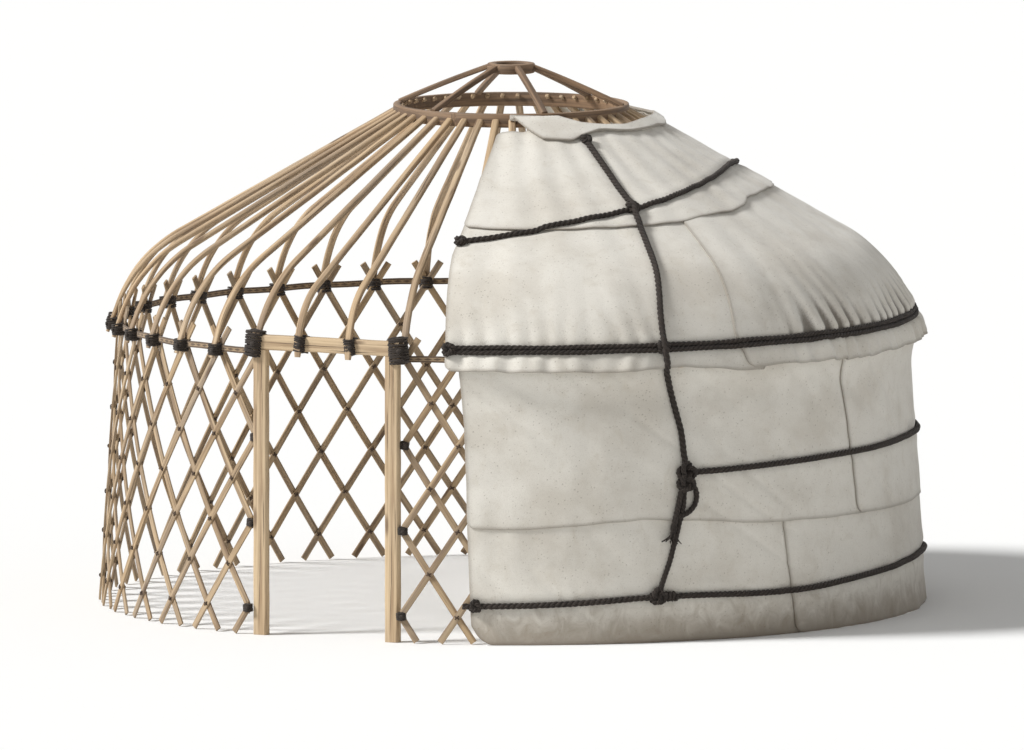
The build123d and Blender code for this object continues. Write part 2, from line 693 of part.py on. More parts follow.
def add_rope_over_roof(side):
    """A rope down from the crown, over the roof and girth ropes and down the wall."""
    seat = down_rope_slack + down_rope_radius
    over_roof_rope = upper_roof_outer + rope_gap + 2 * roof_rope_radius + seat + down_rope_slack
    over_girth_rope = lower_roof_outer + rope_gap + 2 * girth_rope_radius + seat
    bow_height = skirt_height - down_rope_bow_drop
    end_height = low_rope_course(down_rope_foot_turn) + down_rope_end_rise
    course = [
        (down_rope_crown_turn, *on_rise(upper_roof_outer + seat, flap_foot_radius + down_rope_crown_gap)),
        (down_rope_roof_turn, *on_rise(over_roof_rope, roof_rope_course(down_rope_roof_turn))),
        (down_rope_knee_turn, *roof_line(lower_roof_outer + seat)["corner"]),
        (down_rope_girth_turn, *on_foot(over_girth_rope, sum(girth_rope_levels) / 2)),
        (down_rope_skirt_turn, *on_foot(lower_roof_outer + seat, skirt_height)),
        (down_rope_bow_turn, upper_wall_face(bow_height) + seat, bow_height),
        (down_rope_bow_turn, upper_wall_face(mid_rope_start) + seat, mid_rope_start),
        (down_rope_foot_turn, upper_wall_face(upper_wall_felt_foot) + seat,
         upper_wall_felt_foot - down_rope_foot_drop),
        (down_rope_foot_turn, lower_wall_face(end_height) + seat, end_height),
    ]
    points = [around(cover_middle_angle + side * turn, radius, height) for turn, radius, height in course]
    bends = bend_radii(points)
    bends[1] = knee_radius + lower_roof_outer + seat      # along the roof's own knee
    add_rope(points, down_rope_radius, bends)


with BuildPart() as rope_down_front:
    add_rope_over_roof(-1)
rope_down_front.part.label = "rope_down_front"
export_step(rope_down_front.part, "parts/rope_down_front.step")

with BuildPart() as rope_down_back:
    add_rope_over_roof(1)
rope_down_back.part.label = "rope_down_back"
export_step(rope_down_back.part, "parts/rope_down_back.step")
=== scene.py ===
import json
from math import asin, atan2, ceil, cos, degrees, hypot, pi, radians, sin, sqrt, tan

import bmesh
import bpy
import numpy as np
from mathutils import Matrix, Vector

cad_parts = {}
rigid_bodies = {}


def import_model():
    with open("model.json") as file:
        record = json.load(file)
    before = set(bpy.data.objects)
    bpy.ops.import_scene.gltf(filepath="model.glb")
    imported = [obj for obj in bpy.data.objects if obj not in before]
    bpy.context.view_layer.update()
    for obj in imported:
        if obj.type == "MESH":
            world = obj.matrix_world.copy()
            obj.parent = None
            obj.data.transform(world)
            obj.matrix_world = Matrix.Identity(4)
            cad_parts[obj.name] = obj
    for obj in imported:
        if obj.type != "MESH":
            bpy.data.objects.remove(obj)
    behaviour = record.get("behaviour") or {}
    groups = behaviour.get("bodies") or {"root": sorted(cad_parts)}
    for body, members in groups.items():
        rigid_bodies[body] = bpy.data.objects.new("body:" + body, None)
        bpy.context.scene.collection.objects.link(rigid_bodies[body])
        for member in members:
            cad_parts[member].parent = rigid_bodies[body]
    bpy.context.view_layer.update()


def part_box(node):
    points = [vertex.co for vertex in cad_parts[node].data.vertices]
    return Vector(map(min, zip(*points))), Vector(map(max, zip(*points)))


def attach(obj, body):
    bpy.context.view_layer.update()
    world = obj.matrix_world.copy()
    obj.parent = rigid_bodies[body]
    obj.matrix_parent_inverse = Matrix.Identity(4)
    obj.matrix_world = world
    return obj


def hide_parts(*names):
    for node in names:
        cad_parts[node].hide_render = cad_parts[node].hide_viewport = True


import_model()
scene = bpy.context.scene

# ---------------------------------------------------------------------------------------
# The eye: far off with a long lens, a little to the right of the doorway and a little above
# the ground, so that the covered half and the bare half are both seen.

view_turn = radians(27.5)
view_rise = radians(5.95)
view_target = (0.006, 0.0, 1.41)
view_lens = 1200.0
view_width = 6.4                    # metres across the view at the tent


def toward(turn, rise):
    """The way out from the tent at an angle round from the doorway and one up from the ground."""
    return Vector((sin(turn) * cos(rise), -cos(turn) * cos(rise), sin(rise)))


def link(thing, name=None):
    """An object for a mesh, an eye or a lamp, put in the scene."""
    made = bpy.data.objects.new(name or thing.name, thing)
    scene.collection.objects.link(made)
    return made


eye = bpy.data.cameras.new("eye")
eye.lens = view_lens
eye_distance = view_width * view_lens / eye.sensor_width
eye.clip_start = 1.0
eye.clip_end = 3 * eye_distance
toward_eye = toward(view_turn, view_rise)
camera = link(eye)
camera.location = Vector(view_target) + eye_distance * toward_eye
camera.rotation_euler = toward_eye.to_track_quat("Z", "Y").to_euler()
scene.camera = camera

# ---------------------------------------------------------------------------------------
# The studio: a pale floor that runs off out of sight, soft light from the left of the
# doorway and a plain pale surround, so that the far side of the felt falls into shade.

scene.view_settings.view_transform = "Standard"
floor_reach = 400.0
floor_drop = 0.001
floor_colour = (0.93, 0.93, 0.92, 1.0)
surround_strength = 0.35
lamp_strength = 3.55
lamp_size = radians(14)
lamp_turn = radians(-50)            # round from the doorway, to the left
lamp_rise = radians(40)


class Wiring:
    """The nodes of one tree."""

    def __init__(self, tree):
        self.tree = tree

    def __getitem__(self, label):
        """One of the tree's own inputs."""
        return self.given[label]

    def wire(self, value, socket):
        """Link a node or a socket to an input, or set a plain value on it."""
        if isinstance(value, bpy.types.Node):
            value = value.outputs[0]
        if isinstance(value, bpy.types.NodeSocket):
            self.tree.links.new(value, socket)
        else:
            socket.default_value = value

    def add(self, kind, *numbered, **words):
        """A node: inputs by number, then inputs by name with a capital, and settings without one."""
        families = ("GeometryNode", "ShaderNode", "FunctionNode")[self.tree.type == "SHADER":]
        made = self.tree.nodes.new(next(name + kind for name in families if hasattr(bpy.types, name + kind)))
        for word, value in words.items():
            if word[0].islower():
                setattr(made, word, value)
        for socket, value in zip(made.inputs, numbered):
            self.wire(value, socket)
        known = {socket.identifier: socket for socket in made.inputs}
        for word, value in words.items():
            if word[0].isupper():
                self.wire(value, known.get(word) or made.inputs[word.replace("_", " ").strip()])
        return made

    def math(self, operation, *numbers):
        """A sum, a product or other math of numbers."""
        return self.add("Math", *numbers, operation=operation)

    def plus(self, first, second):
        """Two numbers added."""
        return self.math("ADD", first, second)

    def minus(self, first, second):
        """The second number taken from the first."""
        return self.math("SUBTRACT", first, second)

    def product(self, first, second):
        """Two numbers multiplied."""
        return self.math("MULTIPLY", first, second)

    def vector(self, operation, *vectors):
        """The same of vectors."""
        return self.add("VectorMath", *vectors, operation=operation)

    def times(self, vector, scale):
        """A vector times a number."""
        return self.add("VectorMath", vector, Scale=scale, operation="SCALE")


floor_mesh = bpy.data.meshes.new("floor")
floor_corners = ((-1, -1), (1, -1), (1, 1), (-1, 1))
floor_mesh.from_pydata([(x * floor_reach, y * floor_reach, -floor_drop) for x, y in floor_corners], [],
                       [range(4)])
floor = link(floor_mesh)
floor_finish = bpy.data.materials.new("pale_floor")
floor_finish.use_nodes = True
floor_shader = floor_finish.node_tree.nodes["Principled BSDF"]
floor_shader.inputs["Base Color"].default_value = floor_colour
floor_shader.inputs["Roughness"].default_value = 0.95
floor_shader.inputs["Specular IOR Level"].default_value = 0.1
floor_mesh.materials.append(floor_finish)

surround = bpy.data.worlds.new("surround")
surround.use_nodes = True
scene.world = surround
sky = Wiring(surround.node_tree)
rays = sky.add("LightPath")
seen = sky.math("MAXIMUM", rays.outputs["Is Camera Ray"], rays.outputs["Is Glossy Ray"])
glow = surround.node_tree.nodes["Background"]
sky.wire((1.0, 1.0, 1.0, 1.0), glow.inputs["Color"])
sky.wire(sky.add("Mix", Factor=seen, A=surround_strength, B=1.0), glow.inputs["Strength"])

lamp = bpy.data.lights.new("lamp", "SUN")
lamp.energy = lamp_strength
lamp.angle = lamp_size
link(lamp).rotation_euler = toward(lamp_turn, lamp_rise).to_track_quat("Z", "Y").to_euler()

# ---------------------------------------------------------------------------------------
# Wall lattice: peeled willow slats in two layers, one leaning each way, in six sections
# that end against each other and the door posts. They are bent slightly outward to the foot.

door_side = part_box("door_post_right")[1].x
girth_radius = 2.464                # outer face of the lattice at its top row of crossings
ground_radius = 2.580
head_row = 1.750
row_rise = 0.264
section_count = 6
section_units = 7
door_side_gap = 0.0073
slat_width = 0.042
slat_depth = 0.014
slat_bite = 0.002                   # what the two layers press into each other
slat_head = 0.5 * row_rise          # slats run on past the top row
slat_foot = 0.012                   # middle of a slat's slanting foot over the ground
slat_step = 0.066                   # between a slat's points
slat_over = 0.030                   # left on past a section's end until it is sawn off
willow_light = (0.50, 0.36, 0.21, 1.0)
willow_dark = (0.16, 0.095, 0.05, 1.0)

door_half_angle = degrees(asin((door_side + door_side_gap) / girth_radius))
section_angle = (360 - 2 * door_half_angle) / section_count
unit_angle = section_angle / section_units


def around(angle, radius, height):
    """Point at an angle in degrees round the tent, from the doorway towards +X."""
    turn = radians(angle)
    return Vector((radius * sin(turn), -radius * cos(turn), height))


def lattice_face(height):
    """Radius of the lattice's outer face."""
    return girth_radius + (ground_radius - girth_radius) * (head_row - height) / head_row


def wall_out(angle):
    """Square out from the lattice."""
    return (around(angle, 1.0, 0.0) + Vector((0, 0, (ground_radius - girth_radius) / head_row))).normalized()


class Jig(Wiring):
    """A geometry tree that makes pieces along a guide, with named inputs for their sizes."""

    vectors = ("out", "side", "grain")

    def __init__(self, name, **sockets):
        super().__init__(bpy.data.node_groups.new(name, "GeometryNodeTree"))
        faces = self.tree.interface
        faces.new_socket("Geometry", in_out="OUTPUT", socket_type="NodeSocketGeometry")
        for label, kind in (("Guide", "Geometry"), *sockets.items(), ("Finish", "Material")):
            faces.new_socket(label.replace("_", " "), in_out="INPUT", socket_type="NodeSocket" + kind)
        self.given = self.tree.nodes.new("NodeGroupInput").outputs
        self.end = self.tree.nodes.new("NodeGroupOutput").inputs[0]

    def kind(self, name):
        """Whether a named value is a vector or a number."""
        return "FLOAT_VECTOR" if name in self.vectors else "FLOAT"

    def named(self, name):
        """The guide's own value of that name."""
        return self.add("InputNamedAttribute", Name=name, data_type=self.kind(name))

    def keep(self, geometry, name, value):
        """The same geometry, with a value kept on it under a name."""
        return self.add("StoreNamedAttribute", data_type=self.kind(name), domain="POINT", Geometry=geometry,
                        Name=name, Value=value)

    def move(self, geometry, offset):
        """The same geometry, moved."""
        return self.add("SetPosition", Geometry=geometry, Offset=offset)

    def uneven(self, geometry, scale, amount, **seed):
        """The same geometry, its surface a little uneven."""
        noise = self.add("TexNoise", Scale=scale, Detail=2.0, **seed)
        noise = self.vector("SUBTRACT", noise.outputs["Color"], (0.5, 0.5, 0.5))
        return self.move(geometry, self.times(noise, amount))

    def join(self, *parts):
        """Parts joined in one geometry."""
        joined = self.add("JoinGeometry")
        for part in parts:
            self.wire(part, joined.inputs[0])
        return joined

    def circle(self, sides, radius):
        """A round outline."""
        return self.add("CurvePrimitiveCircle", Resolution=sides, Radius=radius, mode="RADIUS")

    def rectangle(self, width, height, steps, corner):
        """An outline with eased corners."""
        plain = self.add("CurvePrimitiveQuadrilateral", Width=width, Height=height)
        return self.add("FilletCurve", mode="POLY", Curve=plain, Count=steps, Radius=corner,
                        Limit_Radius=True)

    def keep_grain(self, geometry):
        """The place on a bar or cord, across it and along it, kept for its finish."""
        side = self.add("SeparateXYZ", self.named("side"))
        along = self.plus(self.named("along"), self.named("start"))
        place = self.add("CombineXYZ", side.outputs["X"], side.outputs["Y"], along)
        return self.keep(geometry, "grain", place)

    def close(self, geometry):
        """Real mesh with its finish, faces smooth but for true edges, as what the tree makes."""
        real = self.add("RealizeInstances", Geometry=geometry)
        sharp = self.add("Compare", self.add("InputMeshEdgeAngle"), 0.75, operation="GREATER_THAN")
        smooth = self.add("SetShadeSmooth", Geometry=real, Shade_Smooth=True)
        edged = self.add("SetShadeSmooth", domain="EDGE", Geometry=smooth, Selection=sharp,
                         Shade_Smooth=False)
        self.wire(self.add("SetMaterial", Geometry=edged, Material=self["Finish"]), self.end)


def lines(name, runs, closed=False):
    """Guide mesh of lines. A point is a place, the way out, and its girth and flatness if not 1."""
    mesh = bpy.data.meshes.new(name)
    points = [(*point, 1.0, 1.0)[:4] for run in runs for point in run]
    edges, first = [], 0
    for run in runs:
        last = first + len(run) - 1
        edges += [(here, here + 1) for here in range(first, last)] + ([(last, first)] if closed else [])
        first = last + 1
    mesh.from_pydata([point[0] for point in points], edges, [])
    out = mesh.attributes.new("out", "FLOAT_VECTOR", "POINT")
    out.data.foreach_set("vector", [part for point in points for part in point[1]])
    starts = [1.7 * count for count, run in enumerate(runs) for _ in run]
    for label, values in (("girth", [point[2] for point in points]),
                          ("flat", [point[3] for point in points]), ("start", starts)):
        mesh.attributes.new(label, "FLOAT", "POINT").data.foreach_set("value", values)
    return mesh


def grow(name, jig, guide, **sizes):
    """One plain mesh from a jig, its guide mesh and its sizes."""
    holder = link(guide, name + "_guide")
    modifier = holder.modifiers.new("grow", "NODES")
    modifier.node_group = jig.tree
    for item in jig.tree.interface.items_tree:
        label = item.name.replace(" ", "_")
        if item.in_out == "INPUT" and label in sizes:
            modifier[item.identifier] = sizes[label]
    graph = bpy.context.evaluated_depsgraph_get()
    mesh = bpy.data.meshes.new_from_object(holder.evaluated_get(graph), preserve_all_data_layers=True,
                                           depsgraph=graph)
    bpy.data.objects.remove(holder)
    return link(mesh, name)


def place_on_tent(piece, slot, *nodes):
    """The piece stands with the tent, and for CAD nodes where it replaces them. The slot is not used."""
    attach(piece, "root")
    if nodes:
        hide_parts(*nodes)


def make(name, jig, runs, slot, *nodes, closed=False, **sizes):
    """A piece grown along its runs and placed."""
    place_on_tent(grow(name, jig, lines(name, runs, closed), **sizes), slot, *nodes)


bars = Jig("bars", Width="Float", Depth="Float", Corner="Float", Corner_Steps="Int", Uneven="Float",
           Seed="Float")
course = bars.add("MeshToCurve", Mesh=bars["Guide"])
course = bars.add("SetCurveNormal", Curve=course, Normal=bars.named("out"), mode="FREE")
course = bars.keep(course, "along", bars.add("SplineParameter").outputs["Length"])
outline = bars.rectangle(bars["Depth"], bars["Width"], bars["Corner Steps"], bars["Corner"])
outline = bars.keep(outline, "side", bars.add("InputPosition"))
bar = bars.add("CurveToMesh", Curve=course, Profile_Curve=outline, Scale=bars.named("girth"), Fill_Caps=True)
squeeze = bars.minus(bars.named("flat"), 1.0)
squeeze = bars.product(squeeze, bars.add("SeparateXYZ", bars.named("side")).outputs["X"])
squeeze = bars.product(squeeze, bars.named("girth"))
bar = bars.move(bar, bars.times(bars.named("out"), squeeze))
bar = bars.uneven(bar, 7.0, bars["Uneven"], noise_dimensions="4D", W=bars["Seed"])
bars.close(bars.keep_grain(bar))


class Surface(Wiring):
    """A shader group with named inputs, which puts out a colour, a roughness and a height."""

    def __init__(self, name, **sockets):
        super().__init__(bpy.data.node_groups.new(name, "ShaderNodeTree"))
        faces = self.tree.interface
        for label, kind in sockets.items():
            faces.new_socket(label, in_out="INPUT", socket_type="NodeSocket" + kind)
        for label, kind in (("Colour", "Color"), ("Roughness", "Float"), ("Height", "Float")):
            faces.new_socket(label, in_out="OUTPUT", socket_type="NodeSocket" + kind)
        self.given = self.tree.nodes.new("NodeGroupInput").outputs
        self.ends = self.tree.nodes.new("NodeGroupOutput").inputs

    def noise(self, place, scale, detail=4.0, roughness=0.6, distortion=0.0):
        """Noise on a place that is scaled by different amounts each way."""
        return self.add("TexNoise", Vector=self.vector("MULTIPLY", place, scale), Scale=1.0, Detail=detail,
                        Roughness=roughness, Distortion=distortion)

    def ramp(self, value, low, high):
        """0 up to low and 1 from high on, smoothly between."""
        return self.add("MapRange", Value=value, From_Min=low, From_Max=high,
                        interpolation_type="SMOOTHSTEP")

    def between(self, value, low, high):
        """A value from 0 to 1 spread between two others."""
        return self.add("MapRange", Value=value, To_Min=low, To_Max=high)

    def blend(self, share, first, second):
        """Two colours mixed by a share."""
        mixed = self.add("Mix", data_type="RGBA", Factor_Float=share, A_Color=first, B_Color=second)
        return next(end for end in mixed.outputs if end.enabled)

    def tint(self, colour, mask, strength, second):
        """A colour with another one laid on it where a mask is full, at a strength."""
        return self.blend(self.product(mask, strength), colour, second)

    def close(self, *ends):
        """The colour, the roughness and the height that the group puts out."""
        for value, socket in zip(ends, self.ends):
            self.wire(value, socket)


wood = Surface("wood", Place="Vector", Light="Color", Dark="Color", Fineness="Float", Weather="Float")
place = wood.times(wood["Place"], wood["Fineness"])
bands = wood.noise(place, (34.0, 34.0, 1.3), 3.0, 0.5, 0.6)
fibres = wood.noise(place, (260.0, 260.0, 7.0), 5.0, 0.7)
checks = wood.ramp(wood.noise(place, (150.0, 150.0, 2.6), 2.0, 0.4), 0.66, 0.74)
branches = wood.add("TexVoronoi", Vector=wood.vector("MULTIPLY", place, (9.0, 9.0, 1.9)), Scale=1.0)
branches = wood.ramp(branches.outputs["Distance"], 0.16, 0.07)
greyed = wood.ramp(wood.noise(wood["Place"], (2.0, 2.0, 0.7), 3.0, 0.5), 0.35, 0.7)
colour = wood.blend(wood.ramp(bands, 0.30, 0.72), wood["Dark"], wood["Light"])
colour = wood.tint(colour, wood.ramp(fibres, 0.35, 0.7), 0.5, wood["Light"])
colour = wood.tint(colour, greyed, wood["Weather"], (0.33, 0.31, 0.28, 1.0))
colour = wood.tint(colour, checks, 0.75, (0.05, 0.03, 0.02, 1.0))
colour = wood.tint(colour, branches, 0.7, (0.09, 0.05, 0.03, 1.0))
wood.close(colour, wood.math("MULTIPLY_ADD", fibres, 0.25, 0.55), wood.minus(fibres, checks))


def finish_from(name, surface, depth, sheen=0.0, **inputs):
    """A material from a surface. A word names a value kept on the piece, and None is the place itself."""
    made = bpy.data.materials.new(name)
    made.use_nodes = True
    tree = Wiring(made.node_tree)
    shader = made.node_tree.nodes["Principled BSDF"]
    look = tree.add("Group", node_tree=surface.tree)
    for label, value in inputs.items():
        if isinstance(value, str):
            value = tree.add("Attribute", attribute_name=value).outputs["Vector"]
        elif value is None:
            value = tree.add("TexCoord").outputs["Object"]
        tree.wire(value, look.inputs[label])
    tree.wire(look.outputs["Colour"], shader.inputs["Base Color"])
    tree.wire(look.outputs["Roughness"], shader.inputs["Roughness"])
    bump = tree.add("Bump", Height=look.outputs["Height"], Distance=depth, Strength=1.0)
    tree.wire(bump, shader.inputs["Normal"])
    tree.wire(0.3, shader.inputs["Specular IOR Level"])
    tree.wire(sheen, shader.inputs["Sheen Weight"])
    return made


willow = finish_from("peeled_willow", wood, 0.0015, Place="grain", Light=willow_light, Dark=willow_dark,
                     Fineness=1.0, Weather=0.35)


def swept(first, last, steps):
    """Evenly spaced numbers from first to last."""
    return [first + (last - first) * step / steps for step in range(steps + 1)]


def slat_runs(first_angle, lean, depth):
    """Lines along the middle of one section's slats that lean one way, cut at its two ends."""
    runs = []
    turn_per_metre = lean * unit_angle / 2 / row_rise
    rows = ceil(head_row / row_rise) + 1
    for count in range(-rows, section_units + rows + 1):
        head_angle = first_angle + count * unit_angle
        at_ends = sorted((turn - head_angle) / turn_per_metre + head_row
                         for turn in (first_angle, first_angle + section_angle))
        low, high = max(slat_foot, at_ends[0] - slat_over), min(head_row + slat_head, at_ends[1] + slat_over)
        if high - low <= slat_width:
            continue
        run = []
        for height in swept(low, high, ceil((high - low) / slat_step)):
            angle = head_angle - (head_row - height) * turn_per_metre
            run.append((around(angle, lattice_face(height) - depth, height), wall_out(angle)))
        runs.append(run)
    return runs


def saw_upright(piece, angle, side):
    """Saw a piece off along the upright plane at an angle, and close the cuts."""
    form = bmesh.new()
    form.from_mesh(piece.data)
    beyond = side * around(angle + 90, 1.0, 0.0)
    cut = bmesh.ops.bisect_plane(form, geom=form.verts[:] + form.edges[:] + form.faces[:], dist=1e-6,
                                 plane_co=(0, 0, 0), plane_no=beyond, clear_outer=True)
    rims = [part for part in cut["geom_cut"] if isinstance(part, bmesh.types.BMEdge)]
    bmesh.ops.holes_fill(form, edges=rims)
    form.to_mesh(piece.data)
    form.free()


for section in range(section_count):
    begins = door_half_angle + section * section_angle
    runs = slat_runs(begins, 1, slat_depth / 2) + slat_runs(begins, -1, 1.5 * slat_depth - slat_bite)
    slats = grow(f"lattice_{section + 1}", bars, lines("slats", runs), Width=slat_width, Depth=slat_depth,
                 Corner=0.005, Corner_Steps=2, Uneven=0.003, Seed=1.0 + section, Finish=willow)
    saw_upright(slats, begins, -1)
    saw_upright(slats, begins + section_angle, 1)
    place_on_tent(slats, "frame_wood", f"lattice_section_{section + 1}")

# ---------------------------------------------------------------------------------------
# Thongs: at every crossing a strip of rawhide goes through both slats and is knotted on each
# face, so that the lattice can fold like scissors.

thong_reach = 0.015
thong_thickness = 0.004
hide_colour = (0.055, 0.034, 0.022, 1.0)

thong = Jig("thong knots", Reach="Float", Thickness="Float", Seed="Int")
loop = thong.add("CurveArc", Resolution=6, Radius=thong["Reach"], Start_Angle=0.0, Sweep_Angle=pi,
                 mode="RADIUS")
loop = thong.add("CurveToMesh", Curve=loop, Profile_Curve=thong.circle(5, thong["Thickness"]),
                 Fill_Caps=True)
near_loop = thong.add("Transform", Geometry=loop, Rotation=(pi / 2, 0.0, 0.6))
far_loop = thong.add("Transform", Geometry=loop, Rotation=(pi / 2, 0.0, -0.7))
lump = thong.add("MeshIcoSphere", Radius=thong["Reach"], Subdivisions=1)
lump = thong.add("Transform", Geometry=lump, Scale=(0.75, 0.55, 0.95))
knot = thong.add("Transform", Geometry=thong.join(near_loop, far_loop, lump), Scale=(1.0, 1.0, 0.55))
facing = thong.add("AxesToRotation", thong.named("out"), (0.0, 0.0, 1.0), primary_axis="Z",
                   secondary_axis="Y")
spin = thong.add("RandomValue", data_type="FLOAT", Min_001=-0.6, Max_001=0.6, Seed=thong["Seed"]).outputs[1]
spin = thong.add("AxisAngleToRotation", Axis=(0.0, 0.0, 1.0), Angle=spin)
facing = thong.add("RotateRotation", facing, spin, rotation_space="LOCAL")
thong.close(thong.add("InstanceOnPoints", Points=thong["Guide"], Instance=knot, Rotation=facing))

hide = Surface("hide", Place="Vector", Tint="Color")
creases = hide.noise(hide["Place"], (160.0, 160.0, 160.0), 4.0, 0.65, 1.5)
colour = hide.tint(hide["Tint"], hide.ramp(creases, 0.45, 0.75), 0.5, (0.20, 0.14, 0.09, 1.0))
hide.close(colour, hide.between(creases, 0.45, 0.8), creases)
rawhide = finish_from("rawhide", hide, 0.002, Place=None, Tint=hide_colour)

crossings = []
for row in range(ceil(head_row / row_rise)):
    height = head_row - row * row_rise
    for column in range(section_count * section_units):
        angle = door_half_angle + (column + (0.5 if row % 2 else 0.0)) * unit_angle
        if row % 2 or column:
            face, back = lattice_face(height), lattice_face(height) - 2 * slat_depth + slat_bite
            crossings += [[(around(angle, face, height), wall_out(angle))],
                          [(around(angle, back, height), -wall_out(angle))]]
make("lattice_thongs", thong, crossings, "rope", Reach=thong_reach, Thickness=thong_thickness, Seed=4,
     Finish=rawhide)

# ---------------------------------------------------------------------------------------
# Head band: a woven strap of wool and hair drawn tight round the heads of the lattice, from
# one door post to the other, so that the push of the roof can't spread the wall.

band_low, band_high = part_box("head_band")
band_level = (band_low.z + band_high.z) / 2
band_thickness = 0.005
band_radius = girth_radius + 0.004
band_steps = 4 * section_count * section_units

weave = Surface("webbing", Place="Vector", Light="Color", Dark="Color")
parts = weave.add("SeparateXYZ", weave["Place"])
across, lengthways = parts.outputs["Y"], parts.outputs["Z"]
ends_over = weave.math("SINE", weave.product(lengthways, 700.0))
warp_over = weave.math("SINE", weave.product(across, 1500.0))
threads = weave.product(ends_over, warp_over)
off_middle = weave.math("ABSOLUTE", across)
stripe = weave.ramp(off_middle, 0.008, 0.011)
teeth = weave.product(weave.math("PINGPONG", lengthways, 0.03), 0.25)
teeth = weave.math("LESS_THAN", off_middle, teeth)
fuzz = weave.noise(weave["Place"], (60.0, 60.0, 9.0))
colour = weave.tint(weave["Light"], weave.math("MAXIMUM", stripe, teeth), 0.85, weave["Dark"])
colour = weave.tint(colour, weave.ramp(fuzz, 0.4, 0.7), 0.35, (0.05, 0.04, 0.03, 1.0))
weave.close(colour, weave.between(fuzz, 0.8, 1.0), threads)
webbing = finish_from("striped_webbing", weave, 0.0008, sheen=0.2, Place="grain",
                      Light=(0.42, 0.30, 0.18, 1.0), Dark=(0.10, 0.065, 0.045, 1.0))

band_run = []
for step in range(band_steps + 1):
    angle = door_half_angle + (360 - 2 * door_half_angle) * step / band_steps
    waver = 0.003 * sin(0.9 * step) + 0.002 * sin(0.31 * step)
    band_run.append((around(angle, band_radius, band_level + waver), around(angle, 1.0, 0.0)))
make("head_strap", bars, [band_run], "band", "head_band", Width=band_high.z - band_low.z,
     Depth=band_thickness, Corner=0.0015, Corner_Steps=1, Uneven=0.002, Seed=20.0, Finish=webbing)

# ---------------------------------------------------------------------------------------
# Door frame: two hewn posts of pale pine and a thicker lintel pegged across their heads.
# Its edges are worn round where people and felts rub on them.

timber_steps = 24
pine_light = (0.66, 0.50, 0.31, 1.0)
pine_dark = (0.30, 0.19, 0.105, 1.0)
pine = finish_from("hewn_pine", wood, 0.002, Place="grain", Light=pine_light, Dark=pine_dark,
                   Fineness=0.8, Weather=0.3)

for name, length, width, corner, seed in (("door_post_left", 2, 0, 0.009, 31.0),
                                          ("door_post_right", 2, 0, 0.009, 32.0),
                                          ("door_lintel", 0, 2, 0.010, 33.0)):
    low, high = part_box(name)
    first, last = (low + high) / 2, (low + high) / 2
    first[length], last[length] = low[length], high[length]
    run = [(first.lerp(last, share), Vector((0, -1, 0))) for share in swept(0, 1, timber_steps)]
    make(name + "_hewn", bars, [run], "door_wood", name, Width=high[width] - low[width],
         Depth=high.y - low.y, Corner=corner, Corner_Steps=3, Uneven=0.007, Seed=seed, Finish=pine)

# ---------------------------------------------------------------------------------------
# Roof poles: young willow trunks, peeled, steamed and bent at the knee, flattened at the
# foot where they lie in a head of the lattice, and cut to a square tip for the crown.

pole_width = 0.046
pole_depth = 0.034
pole_corner = 0.0145
pole_foot_depth = 0.026
foot_radius = girth_radius + 0.058
foot_height = head_row - 0.015
foot_tip = head_row - 0.050
foot_lean = 20.0
foot_to_knee = 0.417
foot_taper = 0.82
knee_radius = 0.870
rise_lean = 60.2
tip_width = 0.026
tip_depth = 1.15                    # of the pole's own depth
tip_show = 0.008                    # past the rim's inner face
tip_point = 0.003
rim_gap = 0.001                     # from the pole's shoulder to the rim
door_foot_lean = 6.0
door_knee_radius = 0.48
pole_light = (0.60, 0.44, 0.27, 1.0)
pole_dark = (0.23, 0.14, 0.075, 1.0)
rim_low, rim_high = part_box("crown_rim")
rim_radius = rim_high.x
rim_thickness = 0.045
lintel_low, lintel_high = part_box("door_lintel")


def way(lean):
    """Along a pole that leans inward by an angle from the vertical, as (radius, height)."""
    return np.array((-sin(radians(lean)), cos(radians(lean))))


def off(lean):
    """Square out from such a pole."""
    return np.array((cos(radians(lean)), sin(radians(lean))))


knee_corner = np.array((foot_radius - foot_to_knee * tan(radians(foot_lean)), foot_height + foot_to_knee))


def pole_face(tip_height, foot, top_radius, knee_steps=14, rise_steps=10):
    """A pole's outer face from its foot up: rows of radius, height and lean."""
    radius, height, lean, bend = foot
    turn = np.linalg.solve(np.array((way(lean), -way(rise_lean))).T, knee_corner - (radius, height))[0]
    corner = np.array((radius, height)) + turn * way(lean)
    centre = corner - bend / cos(radians((rise_lean - lean) / 2)) * off((rise_lean + lean) / 2)
    rows = []
    tip_along = (tip_height - height) / cos(radians(lean))
    low = np.array((radius, height)) + tip_along * way(lean)
    knee_low = centre + bend * off(lean)
    for share in np.linspace(0, 1, 4)[:-1]:
        rows.append((*(low + share * (knee_low - low)), lean))
    for angle in np.linspace(lean, rise_lean, knee_steps + 1):
        rows.append((*(centre + bend * off(angle)), angle))
    knee_high = centre + bend * off(rise_lean)
    rise = (knee_high[0] - top_radius) / sin(radians(rise_lean))
    for share in np.linspace(0, 1, rise_steps + 1)[1:]:
        rows.append((*(knee_high + share * rise * way(rise_lean)), rise_lean))
    return rows


wall_foot = (foot_radius, foot_height, foot_lean, knee_radius)
half_unit = radians(unit_angle / 2)
door_reach = (0.003 - lintel_low.y) / cos(half_unit) + pole_width / 2 * tan(half_unit)
door_foot = (door_reach + pole_foot_depth / cos(radians(door_foot_lean)), lintel_high.z, door_foot_lean,
             door_knee_radius)


